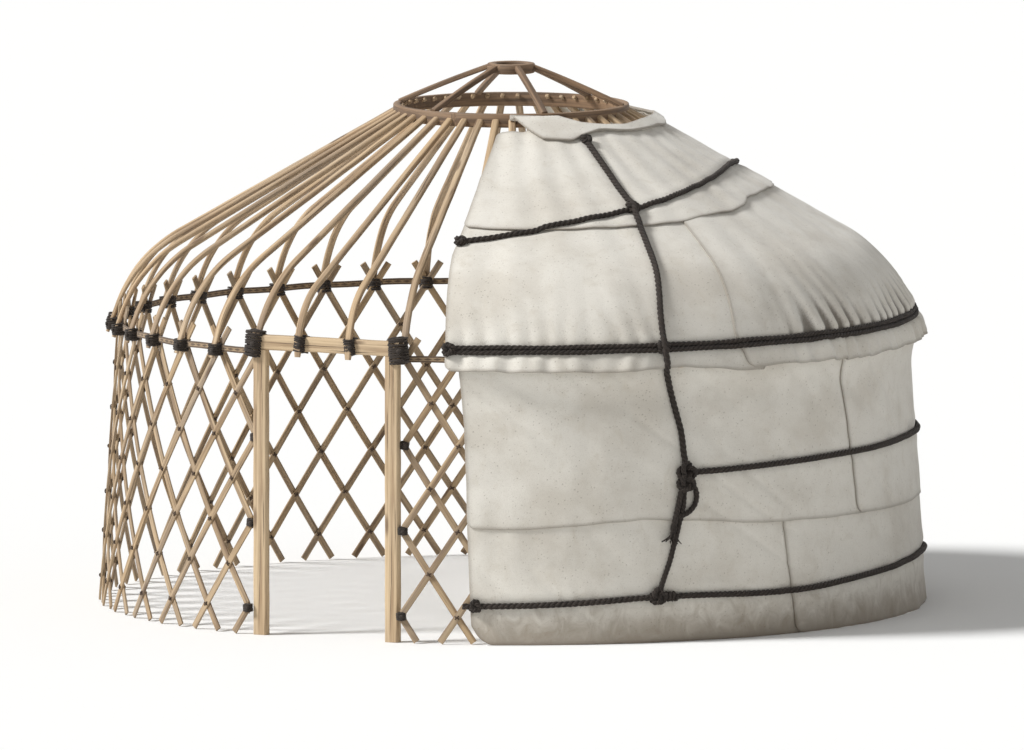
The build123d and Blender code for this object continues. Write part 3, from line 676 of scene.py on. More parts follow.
def pole_run(angle, tip_height=foot_tip, foot=wall_foot):
    """Middle line of a pole at an angle round the tent, with its square tip in the rim."""
    run = []
    for count, (radius, height, lean) in enumerate(pole_face(tip_height, foot, rim_radius + rim_gap)):
        bent = min(1.0, max(0.0, (lean - foot[2]) / (rise_lean - foot[2])))
        deep = pole_foot_depth + bent * (pole_depth - pole_foot_depth)
        inward = off(lean) * deep / 2
        run.append((around(angle, radius - inward[0], height - inward[1]), around(angle, *off(lean)),
                    1.0 if count else foot_taper, deep / pole_depth))
    last, out = run[-1][:2]
    along = (last - run[-2][0]).normalized()
    slim = tip_width / pole_width
    reach = (rim_thickness + rim_gap + tip_show) / sin(radians(rise_lean))
    for way_on, girth in ((rim_gap, slim), (reach, slim), (reach + tip_point, 0.8 * slim)):
        run.append((last + way_on * along, out, girth, tip_depth))
    return run


trunk = finish_from("bent_willow", wood, 0.0015, Place="grain", Light=pole_light, Dark=pole_dark,
                    Fineness=1.0, Weather=0.35)
pole_groups = []
for section in range(section_count):
    begins = door_half_angle + section * section_angle
    count = section_units - (section == section_count - 1)
    runs = [pole_run(begins + unit_angle * (step + 1)) for step in range(count)]
    pole_groups.append((f"poles_{section + 1}", f"roof_poles_{section + 1}", runs, 40.0 + section))
runs = [pole_run(side * door_half_angle / 3, lintel_low.z - 0.030, door_foot) for side in (-1, 1)]
runs += [pole_run(side * door_half_angle, lintel_low.z + 0.059) for side in (-1, 1)]
pole_groups.append(("poles_over_door", "door_poles", runs, 47.0))
for name, node, runs, seed in pole_groups:
    make(name, bars, runs, "pole_wood", node, Width=pole_width, Depth=pole_depth, Corner=pole_corner,
         Corner_Steps=3, Uneven=0.006, Seed=seed, Finish=trunk)

# ---------------------------------------------------------------------------------------
# Lashings: hair cord wound round each pole's foot and the head of the lattice behind it, and
# heavy turns that bind the lintel to the posts and to the last slats beside them.

cord_radius = 0.0056
lash_depth = 0.092                  # through the pole and the lattice behind it
lash_width = 0.068
lash_level = head_row - 0.004
lash_radius = foot_radius - lash_depth / 2 + 0.004
covered_lash_radius = lash_radius - 0.011
cover_angles = (19.0, 198.5)        # felt lies on the poles between these
cord_light = (0.060, 0.043, 0.032, 1.0)
cord_dark = (0.012, 0.009, 0.007, 1.0)

hair = Surface("hair", Place="Vector", Light="Color", Dark="Color")
fibres = hair.noise(hair["Place"], (900.0, 900.0, 45.0), 4.0, 0.7, 1.0)
tufts = hair.noise(hair["Place"], (60.0, 60.0, 9.0), 3.0, 0.6)
pale_hairs = hair.ramp(hair.noise(hair["Place"], (1500.0, 1500.0, 60.0), 2.0, 0.5), 0.66, 0.72)
colour = hair.blend(hair.ramp(fibres, 0.35, 0.7), hair["Dark"], hair["Light"])
colour = hair.tint(colour, hair.ramp(tufts, 0.45, 0.7), 0.5, hair["Dark"])
colour = hair.tint(colour, pale_hairs, 0.5, (0.30, 0.25, 0.20, 1.0))
hair.close(colour, hair.between(fibres, 0.6, 0.95), fibres)
cord = finish_from("hair_cord", hair, 0.0012, sheen=0.1, Place=None, Light=cord_light, Dark=cord_dark)

lashings = Jig("lashings", Depth="Float", Width="Float", Turns="Int", Cord="Float", Seed="Int")
strand = lashings.circle(6, lashings["Cord"])
pitch = lashings.product(lashings["Cord"], 1.85)


def shake(low, high):
    """A small turn or size of its own for each turn of cord."""
    return lashings.add("RandomValue", data_type="FLOAT_VECTOR", Min=low, Max=high, Seed=lashings["Seed"])


def wind(width, height, corner, count, axis, start, turned=(0.0, 0.0, 0.0)):
    """Turns of cord side by side along an axis, each a little out of line with the last."""
    turn = lashings.rectangle(width, height, 3, corner)
    turn = lashings.add("CurveToMesh", Curve=turn, Profile_Curve=strand)
    turn = lashings.add("Transform", Geometry=turn, Rotation=turned)
    levels = lashings.add("MeshLine", Count=count, Offset=lashings.add("CombineXYZ", **{axis: pitch}),
                          mode="OFFSET")
    levels = lashings.move(levels, lashings.add("CombineXYZ", **{axis: start}))
    return lashings.add("InstanceOnPoints", Points=levels, Instance=turn,
                        Rotation=shake((-0.10, -0.10, -0.03), (0.10, 0.10, 0.03)),
                        Scale=shake((0.97, 0.97, 1.0), (1.09, 1.05, 1.0)))


down = lashings.minus(0.5, lashings.product(lashings["Turns"], 0.5))
winding = wind(lashings["Width"], lashings["Depth"], lashings.product(lashings["Width"], 0.35),
               lashings["Turns"], "Z", lashings.product(pitch, down))
waist = wind(lashings.product(lashings["Width"], 0.92), lashings.product(pitch, lashings["Turns"]),
             lashings.product(lashings["Cord"], 3.0), 3, "Y", lashings.product(pitch, -1.0),
             (pi / 2, 0.0, 0.0))
knot = lashings.add("MeshIcoSphere", Radius=lashings.product(lashings["Cord"], 2.6), Subdivisions=2)
front = lashings.math("MULTIPLY_ADD", lashings["Depth"], -0.5, lashings.product(lashings["Cord"], -0.6))
front = lashings.add("CombineXYZ", lashings.product(lashings["Width"], 0.22), front)
knot = lashings.add("Transform", Geometry=knot, Scale=(1.25, 0.7, 1.0), Translation=front)
bound = lashings.add("RealizeInstances", Geometry=lashings.join(winding, waist, knot))
facing = lashings.add("AxesToRotation", (0.0, 0.0, 1.0), lashings.times(lashings.named("out"), -1.0),
                      primary_axis="Z", secondary_axis="Y")
sway = lashings.add("EulerToRotation", shake((-0.08, -0.12, -0.05), (0.08, 0.12, 0.05)))
facing = lashings.add("RotateRotation", facing, sway, rotation_space="LOCAL")
everywhere = lashings.add("InstanceOnPoints", Points=lashings["Guide"], Instance=bound, Rotation=facing,
                          Scale=lashings.named("girth"))
lashings.close(lashings.uneven(lashings.add("RealizeInstances", Geometry=everywhere), 70.0, 0.006))


def lash(name, spots, depth, width, turns, thickness, seed):
    """Turns of cord at spots given as (angle, radius, height), square to the tent's wall there."""
    runs = [[(around(*spot), around(spot[0], 1.0, 0.0))] for spot in spots]
    make(name, lashings, runs, "rope", Depth=depth, Width=width, Turns=turns, Cord=thickness, Seed=seed,
         Finish=cord)


spots = []
for count in range(1, section_count * section_units):
    angle = door_half_angle + unit_angle * count
    covered = cover_angles[0] < angle < cover_angles[1]
    spots.append((angle, covered_lash_radius if covered else lash_radius, lash_level))
lash("lashings_pole_feet", spots, lash_depth, lash_width, turns=7, thickness=cord_radius, seed=7)
lintel_middle = (lintel_low + lintel_high) / 2
over_lintel = lintel_high.y - lintel_low.y + pole_foot_depth + 0.020
spots = [(angle, -lintel_middle.y + pole_foot_depth / 2 + 0.003, lintel_middle.z)
         for angle in (-unit_angle / 2, unit_angle / 2)]
lash("lashings_on_lintel", spots, over_lintel, width=0.060, turns=10, thickness=cord_radius, seed=8)
spots = []
for row in (2, 4, 6):
    height = head_row - row * row_rise
    spots += [(side * (door_half_angle + 0.1), lattice_face(height) - 0.010, height) for side in (-1, 1)]
lash("lashings_door_sides", spots, depth=0.044, width=0.052, turns=5, thickness=0.0050, seed=11)
end_aside, end_forward = lintel_high.x - 0.016, 0.004 - lintel_middle.y
end_angle, end_reach = degrees(atan2(end_aside, end_forward)), hypot(end_aside, end_forward)
for side, name in ((-1, "left"), (1, "right")):
    spot = (side * end_angle, end_reach, lintel_middle.z - 0.010)
    lash(f"lashing_lintel_{name}", [spot], depth=0.104, width=0.108, turns=14, thickness=0.0062,
         seed=9 + side)

# ---------------------------------------------------------------------------------------
# Crown: a thick rim of bent birch, six arched spokes let into it, and a hub ring on top,
# all dark with smoke.

hub_low, hub_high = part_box("crown_hub")
hub_thickness = 0.055
spoke_width = 0.040
spoke_depth = 0.034
spoke_count = 6
spoke_first_angle = 44.5
spoke_arch = 0.006
smoked_light = (0.30, 0.19, 0.11, 1.0)
smoked_dark = (0.07, 0.042, 0.026, 1.0)
smoked = finish_from("smoked_birch", wood, 0.0015, Place="grain", Light=smoked_light, Dark=smoked_dark,
                     Fineness=0.9, Weather=0.2)

for name, node, (low, high), thickness, steps, corner, seed in (
        ("crown_rim_bent", "crown_rim", (rim_low, rim_high), rim_thickness, 120, 0.008, 51.0),
        ("crown_hub_ring", "crown_hub", (hub_low, hub_high), hub_thickness, 48, 0.012, 52.0)):
    ring = [(around(turn, high.x - thickness / 2, (low.z + high.z) / 2), around(turn, 1.0, 0.0))
            for turn in swept(0, 360, steps)[:-1]]
    make(name, bars, [ring], "crown_wood", node, closed=True, Width=high.z - low.z, Depth=thickness,
         Corner=corner, Corner_Steps=3, Uneven=0.004, Seed=seed, Finish=smoked)

toe = np.array((rim_radius - 0.006 - spoke_depth / 2, rim_high.z - 0.004))
head = np.array((hub_high.x - 0.010, hub_high.z - 0.006 - spoke_depth / 2))
lean = degrees(atan2(toe[0] - head[0], head[1] - toe[1]))
spoke_line = [toe + share * (head - toe) + 4 * share * (1 - share) * spoke_arch * off(lean)
              for share in np.linspace(0, 1, 9)]
spoke_angles = [spoke_first_angle + count * 360 / spoke_count for count in range(spoke_count)]
runs = [[(around(angle, *middle), around(angle, *off(lean))) for middle in spoke_line]
        for angle in spoke_angles]
make("crown_spokes_arched", bars, runs, "crown_wood", "crown_spokes", Width=spoke_width, Depth=spoke_depth,
     Corner=0.010, Corner_Steps=3, Uneven=0.004, Seed=53.0, Finish=smoked)

# ---------------------------------------------------------------------------------------
# Felts: thick sheets of pressed sheep's wool. Two stand round the wall in a lower row, two
# hang over them from the heads, and three lie on the roof, each over the edge of the last.
# The crown's own cover is folded back on top of them.

felt_thickness = 0.009
felt_grid = 0.0189                  # between a sheet's points
edge_wear_and_shade_reach = 0.012                   # how far the darkening at a sheet's edges reaches: painted shade, partly a worn hem
cover_middle = 108.75               # the cover's back edges are its front edges, mirrored there
pole_felt_gap = 0.0165              # from a pole's face to the middle of the lower roof felts
lattice_felt_gap = 0.0105
felt_lap_rise = 0.010               # one sheet over another
lap_turn = 3.2                      # degrees that a front sheet runs on under the back one
low_wall_top = 0.80
high_wall_foot = 0.705
waist_height = 1.55
head_height = 1.80
girth_height = 1.815                # of the girth rope, round the poles' knees
skirt_height = 1.672                # the lower roof felts reach from here up to a radius
skirt_head_radius = 1.560
upper_foot_radius = 1.785           # the upper roof felt lies between these
upper_head_radius = 0.875
wave_radius = 2.4                   # where the roof's waves are measured round
wool_pale = (0.80, 0.765, 0.69, 1.0)
wool_shade = (0.57, 0.52, 0.44, 1.0)


def profile_of(rows):
    """A line up the tent from rows of radius, height and lean, with the way along it first."""
    rows = np.array(rows)
    along = np.concatenate(((0.0,), np.cumsum(np.hypot(*np.diff(rows[:, :2], axis=0).T))))
    return np.column_stack((along, rows))


def radius_at(profile, way_up):
    """The radius at a way along a profile."""
    return np.interp(way_up, profile[:, 0], profile[:, 1])


def height_at(profile, way_up):
    """The height there."""
    return np.interp(way_up, profile[:, 0], profile[:, 2])


def lean_at(profile, way_up):
    """The lean there, in degrees."""
    return np.interp(way_up, profile[:, 0], profile[:, 3])


def way_to_height(profile, height):
    """The way along a profile to a height."""
    return np.interp(height, profile[:, 2], profile[:, 0])


def way_to_radius(profile, radius):
    """The way along the roof's profile to a radius."""
    return np.interp(-np.asarray(radius), -profile[:, 1], profile[:, 0])


def on_skin(profile, angle, way_up, rise):
    """Points at angles and ways along a profile, standing off it by a rise."""
    lean = np.radians(lean_at(profile, way_up))
    radius = radius_at(profile, way_up) + rise * np.cos(lean)
    height = height_at(profile, way_up) + rise * np.sin(lean)
    turn = np.radians(angle)
    return np.stack(np.broadcast_arrays(radius * np.sin(turn), -radius * np.cos(turn), height), axis=-1)


def front_angle(angle):
    """The same angle in the cover's front half, and its mirror image in the back half."""
    return cover_middle - np.abs(angle - cover_middle)


def smooth(share):
    """From 0 to 1 with no corner at either end."""
    return share * share * (3 - 2 * share)


def hills(across, up, seed):
    """Smooth hills and hollows about one unit wide, from -1 to 1."""
    table = np.random.default_rng(seed).uniform(-1.0, 1.0, (97, 97))
    column, row = np.floor(across).astype(int), np.floor(up).astype(int)
    right, above = smooth(across - column), smooth(up - row)
    low, high = (table[column % 97, level % 97] * (1 - right) + table[(column + 1) % 97, level % 97] * right
                 for level in (row, row + 1))
    return low * (1 - above) + high * above


def edge_shares(count, half):
    """Shares across a sheet, ways in from its edge and fullness, for a rounded edge at each end."""
    ways_in = np.array((0.0, 0.15, 0.5, 1.0)) * half
    full = np.sqrt(1 - (1 - ways_in / half) ** 2)
    inner = np.linspace(0, 1, count + 1)
    share = np.concatenate((np.zeros(3), inner, np.ones(3)))
    way_in = np.concatenate((ways_in[:3], half * (1 - 2 * inner), -ways_in[2::-1]))
    return share, way_in, np.concatenate((full[:3], np.ones(count + 1), full[2::-1]))


def felt_sheet(name, profile, angles, ways, rise, thickness=felt_thickness, grid=felt_grid, corner=0.0,
               folds=None, hem=None, grime=None):
    """A closed sheet between two edge lines, raised, folded and hemmed by functions, with painted shade laid
    on by another.
    """
    half = thickness / 2
    low, high = ways
    widest = float(np.max(radius_at(profile, (low, high))))
    turn = abs(angles[1](low) - angles[0](low))
    across, way_across, full_across = edge_shares(int(radians(turn) * widest / grid), half)
    upward, way_upward, full_upward = edge_shares(int((high - low) / grid), half)
    way_up = (low + (high - low) * upward + way_upward)[:, None]
    from_edge = np.minimum(way_up - low, high - way_up)
    rounding = np.clip(1 - from_edge / max(corner, half), 0, 1)
    radius = radius_at(profile, way_up)
    inset = np.degrees(corner * (1 - np.sqrt(1 - rounding ** 2)) / radius)
    begins, ends = angles[0](way_up) + inset, angles[1](way_up) - inset
    angle = begins + (ends - begins) * across[None, :] + np.degrees(way_across[None, :] / radius)
    bent_way = way_up + (hem(angle, np.broadcast_to(upward[:, None], angle.shape)) if hem else 0.0)
    lift = rise(angle, bent_way) + (folds(angle, bent_way) if folds else 0.0)
    middle = on_skin(profile, angle, bent_way, lift)
    normal = np.cross(np.gradient(middle, axis=1), np.gradient(middle, axis=0))
    normal /= np.linalg.norm(normal, axis=-1, keepdims=True)
    full = (full_upward[:, None] * full_across[None, :])[..., None] * half
    wide = np.radians(np.abs(ends - begins)) * radius
    bulge = np.minimum(way_across, -way_across[::-1]).clip(0)
    from_end = np.minimum(across, 1 - across)[None, :] * wide + bulge
    # Darker near the sheet's edges: painted shade for the shadow line at its rim, partly a worn hem
    edge_wear_and_shade = np.exp(-np.minimum(from_edge, from_end) / edge_wear_and_shade_reach)
    count = angle.size
    face = np.arange(count).reshape(angle.shape)
    lining = face + count
    lining[[0, -1], :] = face[[0, -1], :]
    lining[:, [0, -1]] = face[:, [0, -1]]

    def quads(at):
        return np.stack((at[:-1, :-1], at[:-1, 1:], at[1:, 1:], at[1:, :-1]), axis=-1).reshape(-1, 4)

    corners = np.concatenate((quads(face), quads(lining)[:, ::-1]))
    points = np.concatenate([(middle + side * normal * full).reshape(-1, 3) for side in (1, -1)])
    used, numbered = np.unique(corners, return_inverse=True)
    mesh = bpy.data.meshes.new(name)
    mesh.from_pydata(points[used].tolist(), [], numbered.reshape(-1, 4).tolist())
    mesh.polygons.foreach_set("use_smooth", np.ones(len(mesh.polygons), dtype=bool))
    # Painted shade in the folds and beside the ropes, kept on the sheet's face and none on its lining
    painted_shading = np.concatenate(((grime(angle, bent_way) if grime else 0.0 * angle).ravel(), np.zeros(count)))
    for label, values in (("hem", np.tile(edge_wear_and_shade.ravel(), 2)), ("grime", painted_shading)):
        mesh.attributes.new(label, "FLOAT", "POINT").data.foreach_set("value", values[used])
    return link(mesh, name)


wool = Surface("wool felt", Place="Vector", Hem="Vector", Grime="Vector", Pale="Color", Shade="Color")
clouds = wool.noise(wool["Place"], (2.1, 2.1, 2.6), 5.0, 0.6)
patches = wool.noise(wool["Place"], (9.0, 9.0, 7.0), 4.0, 0.65, 0.8)
matted = wool.noise(wool["Place"], (85.0, 85.0, 85.0), 6.0, 0.72, 2.2)
hairs = wool.noise(wool["Place"], (420.0, 420.0, 150.0), 3.0, 0.7, 3.0)
colour = wool.tint(wool["Pale"], wool.ramp(clouds, 0.38, 0.70), 0.55, wool["Shade"])
colour = wool.tint(colour, wool.ramp(patches, 0.50, 0.78), 0.35, (0.58, 0.52, 0.42, 1.0))
colour = wool.tint(colour, wool.ramp(matted, 0.50, 0.72), 0.40, (0.40, 0.35, 0.28, 1.0))
colour = wool.tint(colour, wool.ramp(hairs, 0.60, 0.74), 0.45, (0.22, 0.18, 0.14, 1.0))
astray = wool.vector("ADD", wool["Place"], wool.times(hairs, 0.014))
burrs = wool.add("TexVoronoi", Vector=astray, Scale=62.0)
sized = wool.product(wool.add("SeparateColor", burrs.outputs["Color"]), 0.55)
sized = wool.plus(sized, wool.product(clouds, 0.30))
sized = wool.minus(sized, 0.43)
burrs = wool.ramp(wool.minus(burrs.outputs["Distance"], sized), 0.05, -0.06)
colour = wool.tint(colour, burrs, 0.48, (0.27, 0.225, 0.17, 1.0))
level = wool.add("SeparateXYZ", wool["Place"]).outputs["Z"]
splash = wool.plus(level, wool.product(patches, -0.30))
colour = wool.tint(colour, wool.ramp(splash, 0.16, -0.14), 0.75, (0.25, 0.20, 0.145, 1.0))
# Painted shade along each sheet's edges for the shadow line at its rim, partly a worn hem, broken up by the
# matted wool
colour = wool.tint(colour, wool.add("SeparateXYZ", wool["Hem"]), wool.between(matted, 0.45, 1.0),
                   (0.17, 0.135, 0.10, 1.0))
# Painted shade in the hollows of the gathers and beside the ropes, broken up by the matted wool
fold_shade = wool.product(wool.minus(matted, 0.5), 0.9)
fold_shade = wool.ramp(wool.plus(wool.add("SeparateXYZ", wool["Grime"]), fold_shade), 0.12, 0.95)
colour = wool.tint(colour, fold_shade, 0.85, (0.13, 0.105, 0.08, 1.0))
wool.close(colour, wool.between(matted, 0.85, 1.0), wool.plus(matted, wool.product(hairs, 0.35)))
felt = finish_from("wool_felt", wool, 0.0022, sheen=0.25, Place=None, Hem="hem", Grime="grime",
                   Pale=wool_pale, Shade=wool_shade)

roof = profile_of(pole_face(tip_height=1.60, foot=wall_foot, top_radius=rim_radius + rim_gap, knee_steps=48,
                            rise_steps=40))
girth_level = way_to_height(roof, girth_height)
wall_low = profile_of([(lattice_face(height), height, 0.0) for height in np.linspace(0, 1.0, 21)])
hang = [(lattice_face(height) + 0.010 * (waist_height - height) / (waist_height - 0.70), height, 0.0)
        for height in np.linspace(0.60, waist_height, 20)]
head_rows = [(np.interp(height, roof[:, 2], roof[:, 1]) - 0.010, height, foot_lean)
             for height in np.linspace(1.70, 1.85, 6)]


def eased(rows, reach=0.07):
    """A line's rows with its corners eased, at even heights."""
    rows = np.array(rows)
    levels = np.linspace(rows[0, 1], rows[-1, 1], 64)
    near = levels[:, None] + np.linspace(-reach, reach, 9)
    radius, lean = (np.interp(near, rows[:, 1], rows[:, column]).mean(axis=1) for column in (0, 2))
    return np.column_stack((radius, levels, lean))


wall_high = profile_of(eased(hang + head_rows))


def level_line(profile, *points):
    """An edge line: angle in degrees at ways along a profile, given at heights."""
    ways = [way_to_height(profile, height) for height, _ in points]
    turns = [angle for _, angle in points]
    return lambda way_up: np.interp(way_up, ways, turns)


def mirrored(edge):
    """The same edge line at the cover's other end."""
    return lambda way_up: 2 * cover_middle - edge(way_up)


def shifted(edge, degrees_on):
    """An edge line moved round the tent."""
    return lambda way_up: edge(way_up) + degrees_on


def pressed(distance, depth=0.006, reach=0.028):
    """How a rope drawn tight presses into felt, and swells it a little on both sides."""
    swell = 0.45 * depth * np.exp(-((np.abs(distance) - 0.065) / 0.03) ** 2)
    return -depth * np.exp(-(distance / reach) ** 2) + swell


roof_rope_top = 1.362               # the roof rope's radius at the cover's middle and at its edge
roof_rope_edge = 1.880
roof_rope_half = cover_middle - 17.8
roof_rope_slack = ((18.0, 0.045), (40.0, 0.050), (53.6, 0.058), (67.3, 0.043), (74.2, 0.022), (82.7, 0.008),
                   (100.0, 0.0))    # how far the rope has slipped down the slope, round from the doorway
low_rope_heights = ((21.5, 0.239), (34.5, 0.248), (49.0, 0.291), (69.0, 0.262), (84.0, 0.300),
                    (107.5, 0.345))
mid_rope_heights = ((52.5, 1.040), (82.0, 1.080), (106.3, 1.095))
mid_rope_first = 52.5


def roof_rope_way(angle):
    """Where the rope over the roof lies at an angle, as a way up the roof's profile."""
    share = np.clip(np.abs(angle - cover_middle) / roof_rope_half, 0, 1.02)
    slack = np.interp(front_angle(angle), *np.array(roof_rope_slack).T)
    return way_to_radius(roof, roof_rope_top + (roof_rope_edge - roof_rope_top) * share ** 1.5) - slack


def rope_height(angle, heights):
    """Height of a wall rope at an angle, the same at both ends of the cover."""
    shifts = np.linspace(-7.0, 7.0, 9)
    return np.interp(front_angle(np.asarray(angle)[..., None] + shifts), *np.array(heights).T).mean(axis=-1)


def roof_gather(angle, above):
    """The puckers that a girth rope pulls into the roof felts, from hollow to ridge, and their strength."""
    metres = np.radians(angle) * wave_radius
    far_side = np.clip((front_angle(angle) - 55) / 25, 0, 1)
    pull = 0.6 + 0.45 * far_side + (0.9 - 0.35 * far_side) * hills(metres * 2.1, 0 * above, 8)
    pull = np.clip(pull, 0.25 * far_side, 1.3)
    pull = pull * (1 + 0.8 * far_side) * np.exp(-np.clip(above - 0.03, 0, None) / 0.15)
    ridge = np.sin(2 * pi * metres / 0.128 + 3.2 * hills(metres * 3.3, above * 2.2, 9))
    return (1 + ridge) / 2, pull


def roof_folds(angle, way_up):
    """Waves of the roof felts: hollows between poles, swells, gathers at the girth and a flared skirt."""
    metres = np.radians(angle) * wave_radius
    above = way_up - girth_level
    between = (1 - np.cos(2 * pi * (angle - door_half_angle) / unit_angle)) / 2
    hollow = -0.007 * between * np.clip(above / 0.35, 0, 1) * (0.7 + 0.5 * hills(metres * 2, way_up * 2, 3))
    swell = 0.006 * hills(metres * 1.7, way_up * 2.3, 5) + 0.003 * hills(metres * 5, way_up * 5, 6)
    ridge, pull = roof_gather(angle, above)
    gather = 0.0195 * pull * (ridge - 0.27) * (1 - 0.88 * np.exp(-(above / 0.030) ** 2))
    skirt = np.clip(-above / 0.11, 0, 1)
    flare = skirt * (0.007 + 0.009 * np.sin(2 * pi * metres / 0.29 + 2.2 * hills(metres * 2, 0 * above, 12)))
    ropes = pressed(above, 0.007, 0.035) + pressed(way_up - roof_rope_way(angle), 0.005)
    return hollow + swell + gather + flare + ropes


def roof_painted_shade(angle, way_up):
    """Painted shade that lies in the hollows of the gathers, and under the girth rope."""
    above = way_up - girth_level
    ridge, pull = roof_gather(angle, above)
    # Painted shade: darkest in the gathers' hollows, where their pull is strongest
    return np.clip(pull * (1 - ridge) ** 1.5 * (above > -0.03), 0, 1) * 0.9


def wall_painted_shade(profile):
    """Painted shade in patches above the wall ropes, less beside the doorway."""
    def painted_shading(angle, way_up):
        height, nearer = height_at(profile, way_up), front_angle(angle)
        low = np.exp(-((height - rope_height(angle, low_rope_heights) - 0.02) / 0.05) ** 2)
        middle = np.exp(-((height - rope_height(angle, mid_rope_heights) - 0.03) / 0.06) ** 2)
        patch = np.clip(0.35 + 0.9 * hills(np.radians(angle) * 15, height * 4, 71), 0, 1)
        # Painted shade in bands above the ropes, more towards the back of the cover
        rope_shade = 0.45 * low + 0.60 * (middle * (nearer > mid_rope_first))
        return rope_shade * patch * np.clip(0.4 + nearer / 120, 0, 1)
    return painted_shading


def wall_rise(angle, height):
    """Waves of the wall felts: long upright folds, slanting drags and the ropes' grip."""
    metres = np.radians(angle) * 2.5
    folds = 0.0060 * hills(metres * 3.4, height * 0.8, 21) + 0.0040 * hills(metres * 9, height * 1.6, 22)
    slant = metres * 0.8 + height * 1.1
    drags = 0.0060 * hills(slant * 3.1, (height - metres * 0.5) * 1.3, 23)
    creases = np.clip(np.abs(hills(slant * 5.0, (height - metres * 0.6) * 1.2, 24)), 0, 0.35) - 0.2
    grip = pressed(height - rope_height(angle, low_rope_heights), 0.007)
    near_middle = np.clip((cover_middle - mid_rope_first - np.abs(angle - cover_middle)) / 3, 0, 1)
    grip = grip + near_middle * pressed(height - rope_height(angle, mid_rope_heights), 0.006)
    foot = 0.006 * np.clip(1 - height / 0.12, 0, 1) * hills(metres * 5, 0 * height, 27)
    waves = folds + drags + 0.020 * creases
    for heights, amount, seed in ((low_rope_heights, 0.0040, 31),
                                  (mid_rope_heights, 0.0055 * near_middle, 33)):
        from_rope = height - rope_height(angle, heights)
        held = np.exp(-(from_rope / 0.10) ** 2) - np.exp(-(from_rope / 0.030) ** 2)
        tug = np.sin(2 * pi * (metres + 0.35 * from_rope) / 0.098
                     + 2.8 * hills(metres * 3.1, 0 * height, seed))
        patchy = np.clip(0.5 + hills(metres * 1.9, 0 * height, seed + 1), 0, 1.4)
        waves = waves + amount * held * tug * patchy
    return np.where(waves < -0.004, -0.004 + 0.2 * (waves + 0.004), waves) + grip + foot


def wall_folds(profile):
    """The wall's waves at ways along a profile, calmer where a roof felt holds the head."""
    def folds(angle, way_up):
        height = height_at(profile, way_up)
        return wall_rise(angle, height) * np.clip((1.74 - height) / 0.10, 0, 1)
    return folds


def wavy(reach, seed, width=2.6):
    """A low hem that wanders up and down."""
    def shift(angle, share):
        metres = np.radians(angle) * wave_radius
        wave = hills(metres * width, 0 * metres, seed)
        wave = wave + 0.5 * hills(metres * width * 2.7, 0 * metres, seed + 1)
        return reach * wave * (1 - share) ** 3
    return shift


def wall_hem(seed):
    """The upper wall felts' low edge, as it hangs over the lower ones, with small waves of its own."""
    turns, heights = np.array(((21.5, 0.715), (34.5, 0.722), (46.0, 0.762), (69.0, 0.696), (101.0, 0.682))).T

    def shift(angle, share):
        hanging = np.interp(front_angle(angle), turns, heights) - high_wall_foot
        return hanging * (1 - share) ** 3 + wavy(0.008, seed)(angle, share)
    return shift


def lapped(edge):
    """Extra rise of a sheet where it laps over its neighbour, near its own edge line."""
    def extra(angle, way_up):
        past = np.radians(np.abs(angle - edge(way_up))) * 2.3
        return felt_lap_rise * (1 - smooth(np.clip((past - 0.13) / 0.30, 0, 1)))
    return extra


def off_frame(gap):
    """A row's rise off the frame, more where a sheet laps over its neighbour in the row."""
    def with_lap(extra):
        return lambda angle, way_up: gap + (extra(angle, way_up) if extra else 0.0 * angle)
    return with_lap


def over_low_row(extra):
    """The upper wall felts' rise, more where the lower felts' lap lies under them."""
    def rise(angle, way_up):
        under = felt_lap_rise * 1.3 * np.clip((1.10 - height_at(wall_high, way_up)) / 0.28, 0, 1)
        past = np.clip(np.radians(np.abs(angle - 70.0)) * 2.5 / 0.62, 0, 1)
        return lattice_felt_gap + under * (1 - smooth(past)) + (extra(angle, way_up) if extra else 0.0)
    return rise


felt_places = bpy.data.collections.new("felts")
scene.collection.children.link(felt_places)


def hang_felt(name, node, profile, edges, ways, rise, cut, area, held, rests_on, **form):
    """A finished sheet in its place. The size that it was cut to is not used."""
    piece = felt_sheet(name, profile, edges, ways, rise, **form)
    piece.data.materials.append(felt)
    place_on_tent(piece, "felt", node)
    felt_places.objects.link(piece)


def hang_row(name, node, profile, front, seam, ways, rise, hem, seeds, cuts, areas, held, rests_on, **form):
    """A row of felt in two sheets. The front one runs on under the back one's edge at their seam."""
    edges = ((front, shifted(seam, lap_turn)), (seam, mirrored(front)))
    for count, (side, extra) in enumerate((("front", None), ("back", lapped(seam)))):
        hang_felt(f"{name}_{side}", f"{node}_{side}", profile, edges[count], ways, rise(extra), cuts[count],
                  areas[count], held, rests_on[count], hem=hem(seeds[count]), **form)


poles_under = [f"poles_{section + 1}" for section in range(section_count)]
lattice_under = [f"lattice_{section + 1}" for section in range(section_count)]
low_front = level_line(wall_low, (0.0, 23.6), (0.12, 22.0), (0.30, 21.8), (0.60, 21.5), (0.80, 21.3))
low_seam = level_line(wall_low, (0.0, 70.2), (0.70, 68.7))
hang_row("felt_wall_low", "wall_felt_lower", wall_low, low_front, low_seam,
         (0.0005, way_to_height(wall_low, low_wall_top)), off_frame(lattice_felt_gap),
         lambda seed: wavy(0.0010, seed), seeds=(41, 42), cuts=((2.28, 0.80), (5.65, 0.80)),
         areas=(1.81, 4.51), held="stretched", rests_on=(lattice_under[:2], lattice_under), corner=0.07,
         folds=wall_folds(wall_low), grime=wall_painted_shade(wall_low))

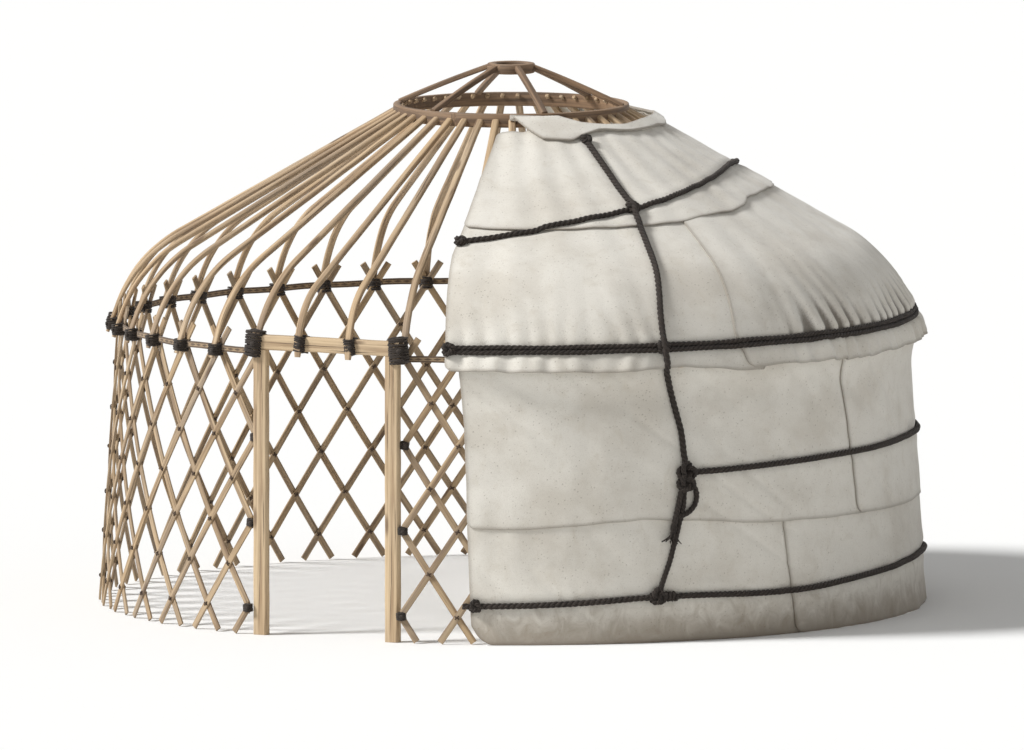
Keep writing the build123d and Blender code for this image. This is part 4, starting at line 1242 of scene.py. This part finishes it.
high_front = level_line(wall_high, (0.68, 21.4), (1.00, 21.2), (1.35, 20.8), (1.80, 19.9))
high_seam = level_line(wall_high, (0.70, 84.8), (1.66, 81.9), (1.80, 81.6))
high_ways = (way_to_height(wall_high, high_wall_foot), way_to_height(wall_high, head_height))
hang_row("felt_wall_high", "wall_felt_upper", wall_high, high_front, high_seam, high_ways, over_low_row,
         wall_hem, seeds=(43, 44), cuts=((2.95, 1.12), (5.05, 1.12)), areas=(3.2, 5.5), held="stretched",
         rests_on=(lattice_under[:2] + poles_under[:2], lattice_under + poles_under), corner=0.05,
         folds=wall_folds(wall_high), grime=wall_painted_shade(wall_high))

roof_front = level_line(roof, (1.66, 18.2), (1.86, 18.1), (2.10, 17.7), (2.35, 17.1), (2.55, 18.2),
                        (2.75, 19.1), (3.03, 22.2))
roof_seam = level_line(roof, (1.66, 62.6), (1.715, 62.3), (1.885, 61.2), (2.30, 63.0), (2.62, 65.1))
skirt_ways = (way_to_height(roof, skirt_height), way_to_radius(roof, skirt_head_radius))
hang_row("felt_roof_low", "roof_felt_lower", roof, roof_front, roof_seam, skirt_ways,
         off_frame(pole_felt_gap), lambda seed: wavy(0.020, seed, width=2.2), seeds=(45, 46),
         cuts=((2.1, 1.41), (6.1, 1.41)), areas=(2.47, 7.08), held="draped",
         rests_on=(poles_under[:2], poles_under), corner=0.05, folds=roof_folds, grime=roof_painted_shade)


def over_skirts(angle, way_up):
    """The upper roof felt: over the lower ones' heads, and down on the poles above them."""
    return pole_felt_gap + felt_lap_rise * np.clip((radius_at(roof, way_up) - 1.42) / 0.14, 0, 1) + 0.004


def roof_edge(angle, share):
    """The upper roof felt's slanting low edge, higher towards the back, and its wandering hem."""
    nearer = front_angle(angle)
    climb = np.interp(nearer, (18.0, 28.0, 40.0, 52.5, 66.0, 80.0, 86.0, 91.0, 107.5),
                      (0.0, -0.012, -0.018, -0.012, 0.035, 0.085, 0.120, 0.180, 0.200))
    tucked = 0.075 * np.clip((nearer - 33) / 8, 0, 1) - 0.085 * np.clip((nearer - 50) / 12, 0, 1)
    return climb * (1 - share) ** 1.5 + tucked * share ** 4 + wavy(0.012, 47, width=1.9)(angle, share)


upper_ways = (way_to_radius(roof, upper_foot_radius), way_to_radius(roof, upper_head_radius))
hang_felt("felt_roof_high", "roof_felt_upper", roof, (roof_front, mirrored(roof_front)), upper_ways,
          over_skirts, cut=(5.65, 1.15), area=4.5, held="draped", rests_on=poles_under, corner=0.05,
          folds=roof_folds, grime=roof_painted_shade, hem=roof_edge)

flap_foot_radii = ((27.6, 0.77), (34.5, 0.918), (39.0, 0.99), (49.5, 1.013), (54.0, 0.982), (63.3, 0.938),
                   (79.5, 0.958), (98.5, 0.960), (107.5, 0.975))
flap_head_falls = ((27.6, 0.0), (42.0, 0.010), (49.0, 0.066), (57.6, 0.150), (69.0, 0.186), (78.0, 0.203),
                   (92.6, 0.182), (107.5, 0.172))
flap_gap = 0.037                    # from the poles' faces to the middle of the doubled flap
flap_thickness = 0.016
flap_rows = [(radius + flap_gap * cos(radians(lean)), height + flap_gap * sin(radians(lean)), lean)
             for _, radius, height, lean in roof if 0.765 < radius < 1.15]
flap_rows += [(rim_radius + 0.024, rim_high.z - 0.036, 45.0), (rim_radius + 0.012, rim_high.z - 0.018, 20.0),
              (rim_radius + 0.010, rim_high.z - 0.001, 0.0)]
flap_line = profile_of(flap_rows)
flap_ways = (way_to_radius(flap_line, 1.02), float(flap_line[-1, 0]))
flap_front = level_line(flap_line, (2.80, 26.8), (3.03, 26.8))


def flap_rise(angle, way_up):
    """The flap is folded double, so it stands up in a soft roll round the rim."""
    metres = np.radians(angle) * 0.85
    share = np.clip((way_up - flap_ways[0]) / (flap_ways[1] - flap_ways[0]), 0, 1)
    roll = 0.008 * np.sin(pi * share) + 0.006 * hills(metres * 6, share * 2, 61) * np.sin(pi * share)
    return roll + 0.004 * hills(metres * 14, share * 3, 62) * (1 - share)


def flap_hem(angle, share):
    """The flap's low edge dips between its ties, and its head sags off the rim's top at the side."""
    radius, fall = (np.interp(front_angle(angle), *np.array(table).T)
                    for table in (flap_foot_radii, flap_head_falls))
    wave = 0.008 * hills(np.radians(angle) * 7, 0 * angle, 64)
    low = way_to_radius(flap_line, radius) - flap_ways[0] + wave
    return low * (1 - share) - fall * share


hang_felt("felt_crown_flap", "crown_flap", flap_line, (flap_front, mirrored(flap_front)), flap_ways,
          flap_rise, cut=(2.5, 0.16), area=0.36, held="folded", rests_on=["felt_roof_high"],
          thickness=flap_thickness, grid=0.013, corner=0.01, hem=flap_hem)

# ---------------------------------------------------------------------------------------
# Ropes: three strands of dark goat and horse hair, laid up hard and hauled tight over the
# felts. Each follows the skin under it, presses into it and bridges its hollows.

rope_lay = 0.105                    # one full turn of a strand
thin_lay = 0.06
rope_step = 0.095                   # between a rope's rings, as a share of its lay
rope_sides = 7
rope_sink = 0.003
strand_share = 0.53                 # a strand's radius and its way from the rope's middle
strand_overlap = 0.06
cast_from = 0.15                    # how far over the felt the skin is looked for, and how deep
cast_depth = 0.35
girth_rope_radius = 0.016
girth_spread = 0.0310               # between its two turns
roof_rope_radius = 0.0175
wall_rope_radius = 0.0190
down_rope_radius = 0.0200
foot_line_radius = 0.0170
hair_light = (0.060, 0.044, 0.034, 1.0)
hair_dark = (0.010, 0.008, 0.007, 1.0)

laid = Jig("laid rope", Skin="Collection", Radius="Float", Lay="Float", Sides="Int", Sink="Float",
           Uneven="Float", Smoothing="Int")
course = laid.add("MeshToCurve", Mesh=laid["Guide"])
course = laid.add("ResampleCurve", Curve=course, Length=laid.product(laid["Lay"], rope_step), mode="LENGTH")
course = laid.keep(course, "out", laid.vector("NORMALIZE", laid.named("out")))
out = laid.named("out")
here = laid.add("InputPosition")
skins = laid.add("RealizeInstances", Geometry=laid.add("CollectionInfo", Collection=laid["Skin"]))
above = laid.vector("ADD", here, laid.times(out, cast_from))
cast = laid.add("Raycast", Target_Geometry=skins, Source_Position=above, Ray_Direction=laid.times(out, -1.0),
                Ray_Length=cast_depth)
lift = laid.product(laid["Radius"], laid.named("flat"))
lift = laid.times(out, laid.minus(lift, laid["Sink"]))
on_felt = laid.vector("ADD", cast.outputs["Hit Position"], lift)
there = laid.add("Switch", Switch=cast.outputs["Is Hit"], False_=here, True_=on_felt, input_type="VECTOR")
course = laid.add("SetPosition", Geometry=course, Position=there)
bridged = laid.add("BlurAttribute", Value=here, Iterations=laid["Smoothing"], data_type="FLOAT_VECTOR")
course = laid.add("SetPosition", Geometry=course, Position=bridged)
course = laid.keep(course, "along", laid.add("SplineParameter").outputs["Length"])
ahead = laid.add("InputTangent")
sideways = laid.vector("NORMALIZE", laid.vector("CROSS_PRODUCT", ahead, out))
upward = laid.vector("CROSS_PRODUCT", sideways, ahead)
strand = laid.circle(laid["Sides"], laid.product(laid["Radius"], strand_share))
strand = laid.keep(strand, "side", laid.add("InputPosition"))
twist = laid.math("DIVIDE", laid.product(laid.named("along"), 2 * pi), laid["Lay"])
strands = []
for third in range(3):
    turn = laid.plus(twist, third * 2 * pi / 3)
    away = laid.vector("ADD", laid.times(sideways, laid.math("COSINE", turn)),
                       laid.times(upward, laid.math("SINE", turn)))
    reach = laid.product(laid["Radius"], 1 - strand_share + strand_overlap)
    reach = laid.product(reach, laid.named("girth"))
    wound = laid.move(course, laid.times(away, reach))
    strands.append(laid.add("CurveToMesh", Curve=wound, Profile_Curve=strand, Scale=laid.named("girth"),
                            Fill_Caps=True))
laid.close(laid.keep_grain(laid.uneven(laid.join(*strands), 90.0, laid["Uneven"])))

hair_rope = finish_from("goat_hair", hair, 0.0015, sheen=0.05, Place="grain", Light=hair_light,
                        Dark=hair_dark)


def lay_rope(name, runs, radius, *nodes, smoothing=5, skin=felt_places, lay=rope_lay, sides=rope_sides):
    """Laid rope along runs of guide points, hauled tight over the felts."""
    make(name, laid, runs, "rope", *nodes, Skin=skin, Radius=radius, Lay=lay, Sides=sides, Sink=rope_sink,
         Uneven=0.004, Smoothing=smoothing, Finish=hair_rope)


def tie(name, runs, radius, lay=thin_lay, sides=6):
    """Rope, cord or yarn that keeps to its own line."""
    lay_rope(name, runs, radius, smoothing=0, skin=None, lay=lay, sides=sides)


def roof_point(angle, way_up, lift=1.0):
    """A rope's guide point over the roof, a lift in its own radii over the skin."""
    lean = radians(lean_at(roof, way_up))
    return Vector(on_skin(roof, angle, way_up, 0.05)), around(angle, cos(lean), sin(lean)), 1.0, lift


def wall_point(angle, height, lift=1.0):
    """The same on the wall."""
    radius = lattice_face(height)
    if height > 0.7:
        radius = float(np.interp(height, wall_high[:, 2], wall_high[:, 1]))
    return around(angle, radius + 0.03, height), around(angle, 1.0, 0.06), 1.0, lift


for side, name in ((-1, "rope_girth_low"), (1, "rope_girth_high")):
    way_up = girth_level + side * girth_spread / 2
    run = [roof_point(turn, way_up + 0.002 * sin(0.5 * turn + side)) for turn in swept(17.6, 199.9, 150)]
    lay_rope(name, [run], girth_rope_radius, "rope_girth", smoothing=14)
run = [roof_point(turn, roof_rope_way(turn)) for turn in swept(17.3, 200.2, 110)]
lay_rope("rope_over_roof", [run], roof_rope_radius, "rope_roof")
for name, node, heights, first, last, steps in (
        ("rope_round_middle", "rope_mid", mid_rope_heights, 52.4, 165.1, 110),
        ("rope_round_foot", "rope_low", low_rope_heights, 20.6, 196.9, 150)):
    run = [wall_point(turn, rope_height(turn, heights)) for turn in swept(first, last, steps)]
    lay_rope(name, [run], wall_rope_radius, node)

# ---------------------------------------------------------------------------------------
# Down ropes: one at the front of the cover and one at the back. Each comes from the crown over
# the other ropes, is knotted half way down the wall, and a thinner line ties it at the foot.

down_steps = 44
down_foot_turn = 48.0
top_knot_height = 1.05
foot_knot_height = 0.285
roof_crossing = roof_rope_way(54.6)  # the way up the roof to where a down rope crosses the roof rope
down_roof = [(way_to_radius(roof, radius), angle)
             for radius, angle in ((0.985, 54.8), (1.30, 54.7), (1.60, 54.5))]
down_roof += [(way_to_height(roof, height), angle)
              for height, angle in ((2.22, 51.2), (2.02, 49.8), (1.82, 49.3), (1.71, 49.6))]
down_wall = ((1.66, 49.8), (1.50, 50.9), (1.30, 52.0), (1.06, 52.6), (0.85, 52.1), (0.685, 51.2),
             (0.50, 49.9), (foot_knot_height, down_foot_turn))
knot_cord_radius = 0.0160
bight_radius = 0.0170
tail_radius = 0.0185
whipping_radius = 0.0190            # six turns of yarn that bind the rope's end
whipping_yarn = 0.0026
fray_yarns = 22
fray_yarn = 0.0066
fray_length = 0.062
hitch_radius = 0.0240               # three turns on the low rope
hitch_cord = 0.0110
roof_knot_lift = 0.026              # a knot's middle over the felt
wall_knot_lift = 0.030
hitch_lift = 0.022
bight_stops = ((1.000, 0.010, 0.032), (0.965, 0.052, 0.028), (0.915, 0.082, 0.021), (0.860, 0.082, 0.019),
               (0.812, 0.058, 0.020), (0.785, 0.020, 0.022), (0.772, -0.024, 0.022))
tail_stops = ((0.980, -0.008, 0.034), (0.930, -0.028, 0.026), (0.840, -0.036, 0.022), (0.770, -0.038, 0.023),
              (0.715, -0.036, 0.026), (0.658, -0.031, 0.028))
upright = Vector((0, 0, 1))


def down_turn(level, table=down_wall):
    """The down rope's angle at a height on the wall, or at a way up the roof from the roof's table."""
    return np.interp(-level, [-stop for stop, _ in table], [turn for _, turn in table])


def over(distance, reach):
    """Extra lift in rope radii where a rope passes over another one."""
    return 2.0 * max(0.0, 1 - abs(distance) / reach)


def down_run(turned):
    """The rope that comes down from the crown, over the roof and girth ropes and down the wall."""
    run = []
    for way_up in swept(down_roof[0][0], down_roof[-1][0], down_steps):
        lift = 1.0 + over(way_up - girth_level, 0.08) + over(way_up - roof_crossing, 0.06)
        run.append(roof_point(turned(down_turn(way_up, down_roof)), way_up, lift))
    for height in swept(down_wall[0][0], top_knot_height, down_steps):
        run.append(wall_point(turned(down_turn(height)), height))
    return run


def thin_run(turned):
    """The thinner line that ties its foot down to the low rope."""
    return [wall_point(turned(down_turn(height)), height, 1.0 + over(height - foot_knot_height, 0.06))
            for height in swept(1.06, 0.262, down_steps)]


def knot_run(centre, out, along, size, turns=2.0, steps=54):
    """A knot's line: one cord that winds through itself three times."""
    across = out.cross(along).normalized()
    run = []
    for turn in swept(0, turns * 2 * pi, steps):
        reach = size * (1 + 0.42 * cos(1.5 * turn))
        place = centre + reach * (cos(turn) * along + sin(turn) * across)
        rise = 0.52 * size * sin(1.5 * turn)
        away = (cos(turn) * along + sin(turn) * across) * 0.5 + out
        run.append((place + rise * out, away.normalized()))
    return run


def wrap_run(centre, out, along, size, turns, pitch, flat=1.0, steps=12):
    """The line of turns wound round a rope that runs along, flatter where it lies on the felt."""
    across = out.cross(along).normalized()
    run = []
    for step in range(turns * steps + 1):
        turn = 2 * pi * step / steps
        way_on = (step / steps - turns / 2) * pitch
        away = (flat * cos(turn) + 1 - flat) * out + sin(turn) * across
        run.append((centre + way_on * along + size * away, away))
    return run


def fray_run(end, out, down, count):
    """One yarn of a rope's frayed end, spreading out and falling from its last turn."""
    across = out.cross(down).normalized()
    turn = 2.4 * count
    spread = 0.019 * sqrt((count + 0.5) / fray_yarns)
    start = end - 0.012 * down + (0.008 + spread * cos(turn)) * out + spread * sin(turn) * across
    lean = 0.95 * sin(turn) * sqrt((count + 0.5) / fray_yarns)
    run = []
    for share in swept(0.0, 1.0, 8):
        reach = fray_length * (0.75 + 0.25 * sin(5.1 * count)) * share
        curl = 0.004 * sin(3.0 * share + count)
        place = start + reach * (down + lean * share * across) + curl * across - 0.006 * share * out
        run.append((place, out, 1.0 - 0.5 * share, 1.0))
    return run


def skin_place(point, radius):
    """Where a rope of that radius lies at a guide point."""
    place, out = point[0], point[1].normalized()
    skin = cast_from - cast_depth
    for sheet in felt_places.objects:
        hit, spot, _, _ = sheet.ray_cast(place + cast_from * out, -out, distance=cast_depth)
        if hit:
            skin = max(skin, (spot - place).dot(out))
    return place + (skin + radius) * out


def away_from_tent(place):
    """Level out from the tent's middle at a place."""
    return Vector((place.x, place.y, 0.0)).normalized()


def hanging_way(name, turned, side, stops):
    """The smooth line of a loose end on the wall; a stop is its height, its way aside and its lift."""
    course = bpy.data.curves.new(name, "CURVE")
    course.dimensions = "3D"
    spline = course.splines.new("NURBS")
    spline.points.add(len(stops) - 1)
    for point, (height, aside, lift) in zip(spline.points, stops):
        angle = turned(down_turn(height)) + side * degrees(aside / lattice_face(height))
        point.co = (*skin_place(wall_point(angle, height), lift), 1.0)
    spline.order_u = 3
    spline.use_endpoint_u = True
    spline.resolution_u = 10
    holder = link(course)
    mesh = bpy.data.meshes.new_from_object(holder)
    places = [point.co.copy() for point in mesh.vertices]
    bpy.data.objects.remove(holder)
    return places


def loose_end(name, places, radius):
    """A loose rope along its line."""
    tie(name, [[(place, away_from_tent(place)) for place in places]], radius, lay=0.075, sides=rope_sides)


for name, side, turned in (("front", 1, lambda turn: turn),
                           ("back", -1, lambda turn: 2 * cover_middle - turn)):
    lay_rope(f"rope_down_{name}_laid", [down_run(turned)], down_rope_radius, f"rope_down_{name}",
             smoothing=3)
    lay_rope(f"rope_foot_line_{name}", [thin_run(turned)], foot_line_radius, smoothing=3, lay=0.08, sides=6)

    roof_knots = [(down_turn(way_up, down_roof), way_up, size)
                  for way_up, size in ((down_roof[0][0] - 0.01, 0.018), (roof_crossing, 0.026),
                                       (girth_level, 0.024))]
    roof_knots += [(18.1, roof_rope_way(18.1), 0.020), (18.7, girth_level, 0.025)]
    knots = []
    for angle, way_up, size in roof_knots:
        point = roof_point(turned(angle), way_up)
        out = point[1].normalized()
        knots.append(knot_run(skin_place(point, roof_knot_lift), out, upright.cross(out).normalized(), size))
    wall_knots = [(down_turn(height), height, size)
                  for height, size in ((top_knot_height, 0.039), (0.98, 0.036), (foot_knot_height, 0.033))]
    wall_knots.append((22.6, rope_height(22.6, low_rope_heights), 0.022))
    for angle, height, size in wall_knots:
        point = wall_point(turned(angle), height)
        knots.append(knot_run(skin_place(point, wall_knot_lift), point[1].normalized(), upright, size))
    tie(f"rope_knots_{name}", knots, knot_cord_radius)

    loose_end(f"rope_bight_{name}", hanging_way("bight", turned, side, bight_stops), bight_radius)
    tail = hanging_way("tail", turned, side, tail_stops)
    loose_end(f"rope_tail_{name}", tail, tail_radius)
    out, down = away_from_tent(tail[-7]), (tail[-6] - tail[-8]).normalized()
    turns = wrap_run(tail[-7], out, -down, whipping_radius, turns=6, pitch=0.0048)
    tie(f"rope_whipping_{name}", [turns], whipping_yarn, lay=0.03, sides=4)
    fray = [fray_run(tail[-1], out, down, count) for count in range(fray_yarns)]
    tie(f"rope_fray_{name}", fray, fray_yarn, sides=4)
    hitch = [wall_point(turned(turn), rope_height(turn, low_rope_heights))
             for turn in (down_foot_turn + aside for aside in (1.0, 1.9, 2.8))]
    first, middle, last = (skin_place(point, hitch_lift) for point in hitch)
    onward = (last - first).normalized()
    hitch = wrap_run(middle, away_from_tent(middle), onward, hitch_radius, turns=3, pitch=0.024, flat=0.75)
    tie(f"rope_hitch_{name}", [hitch], hitch_cord)
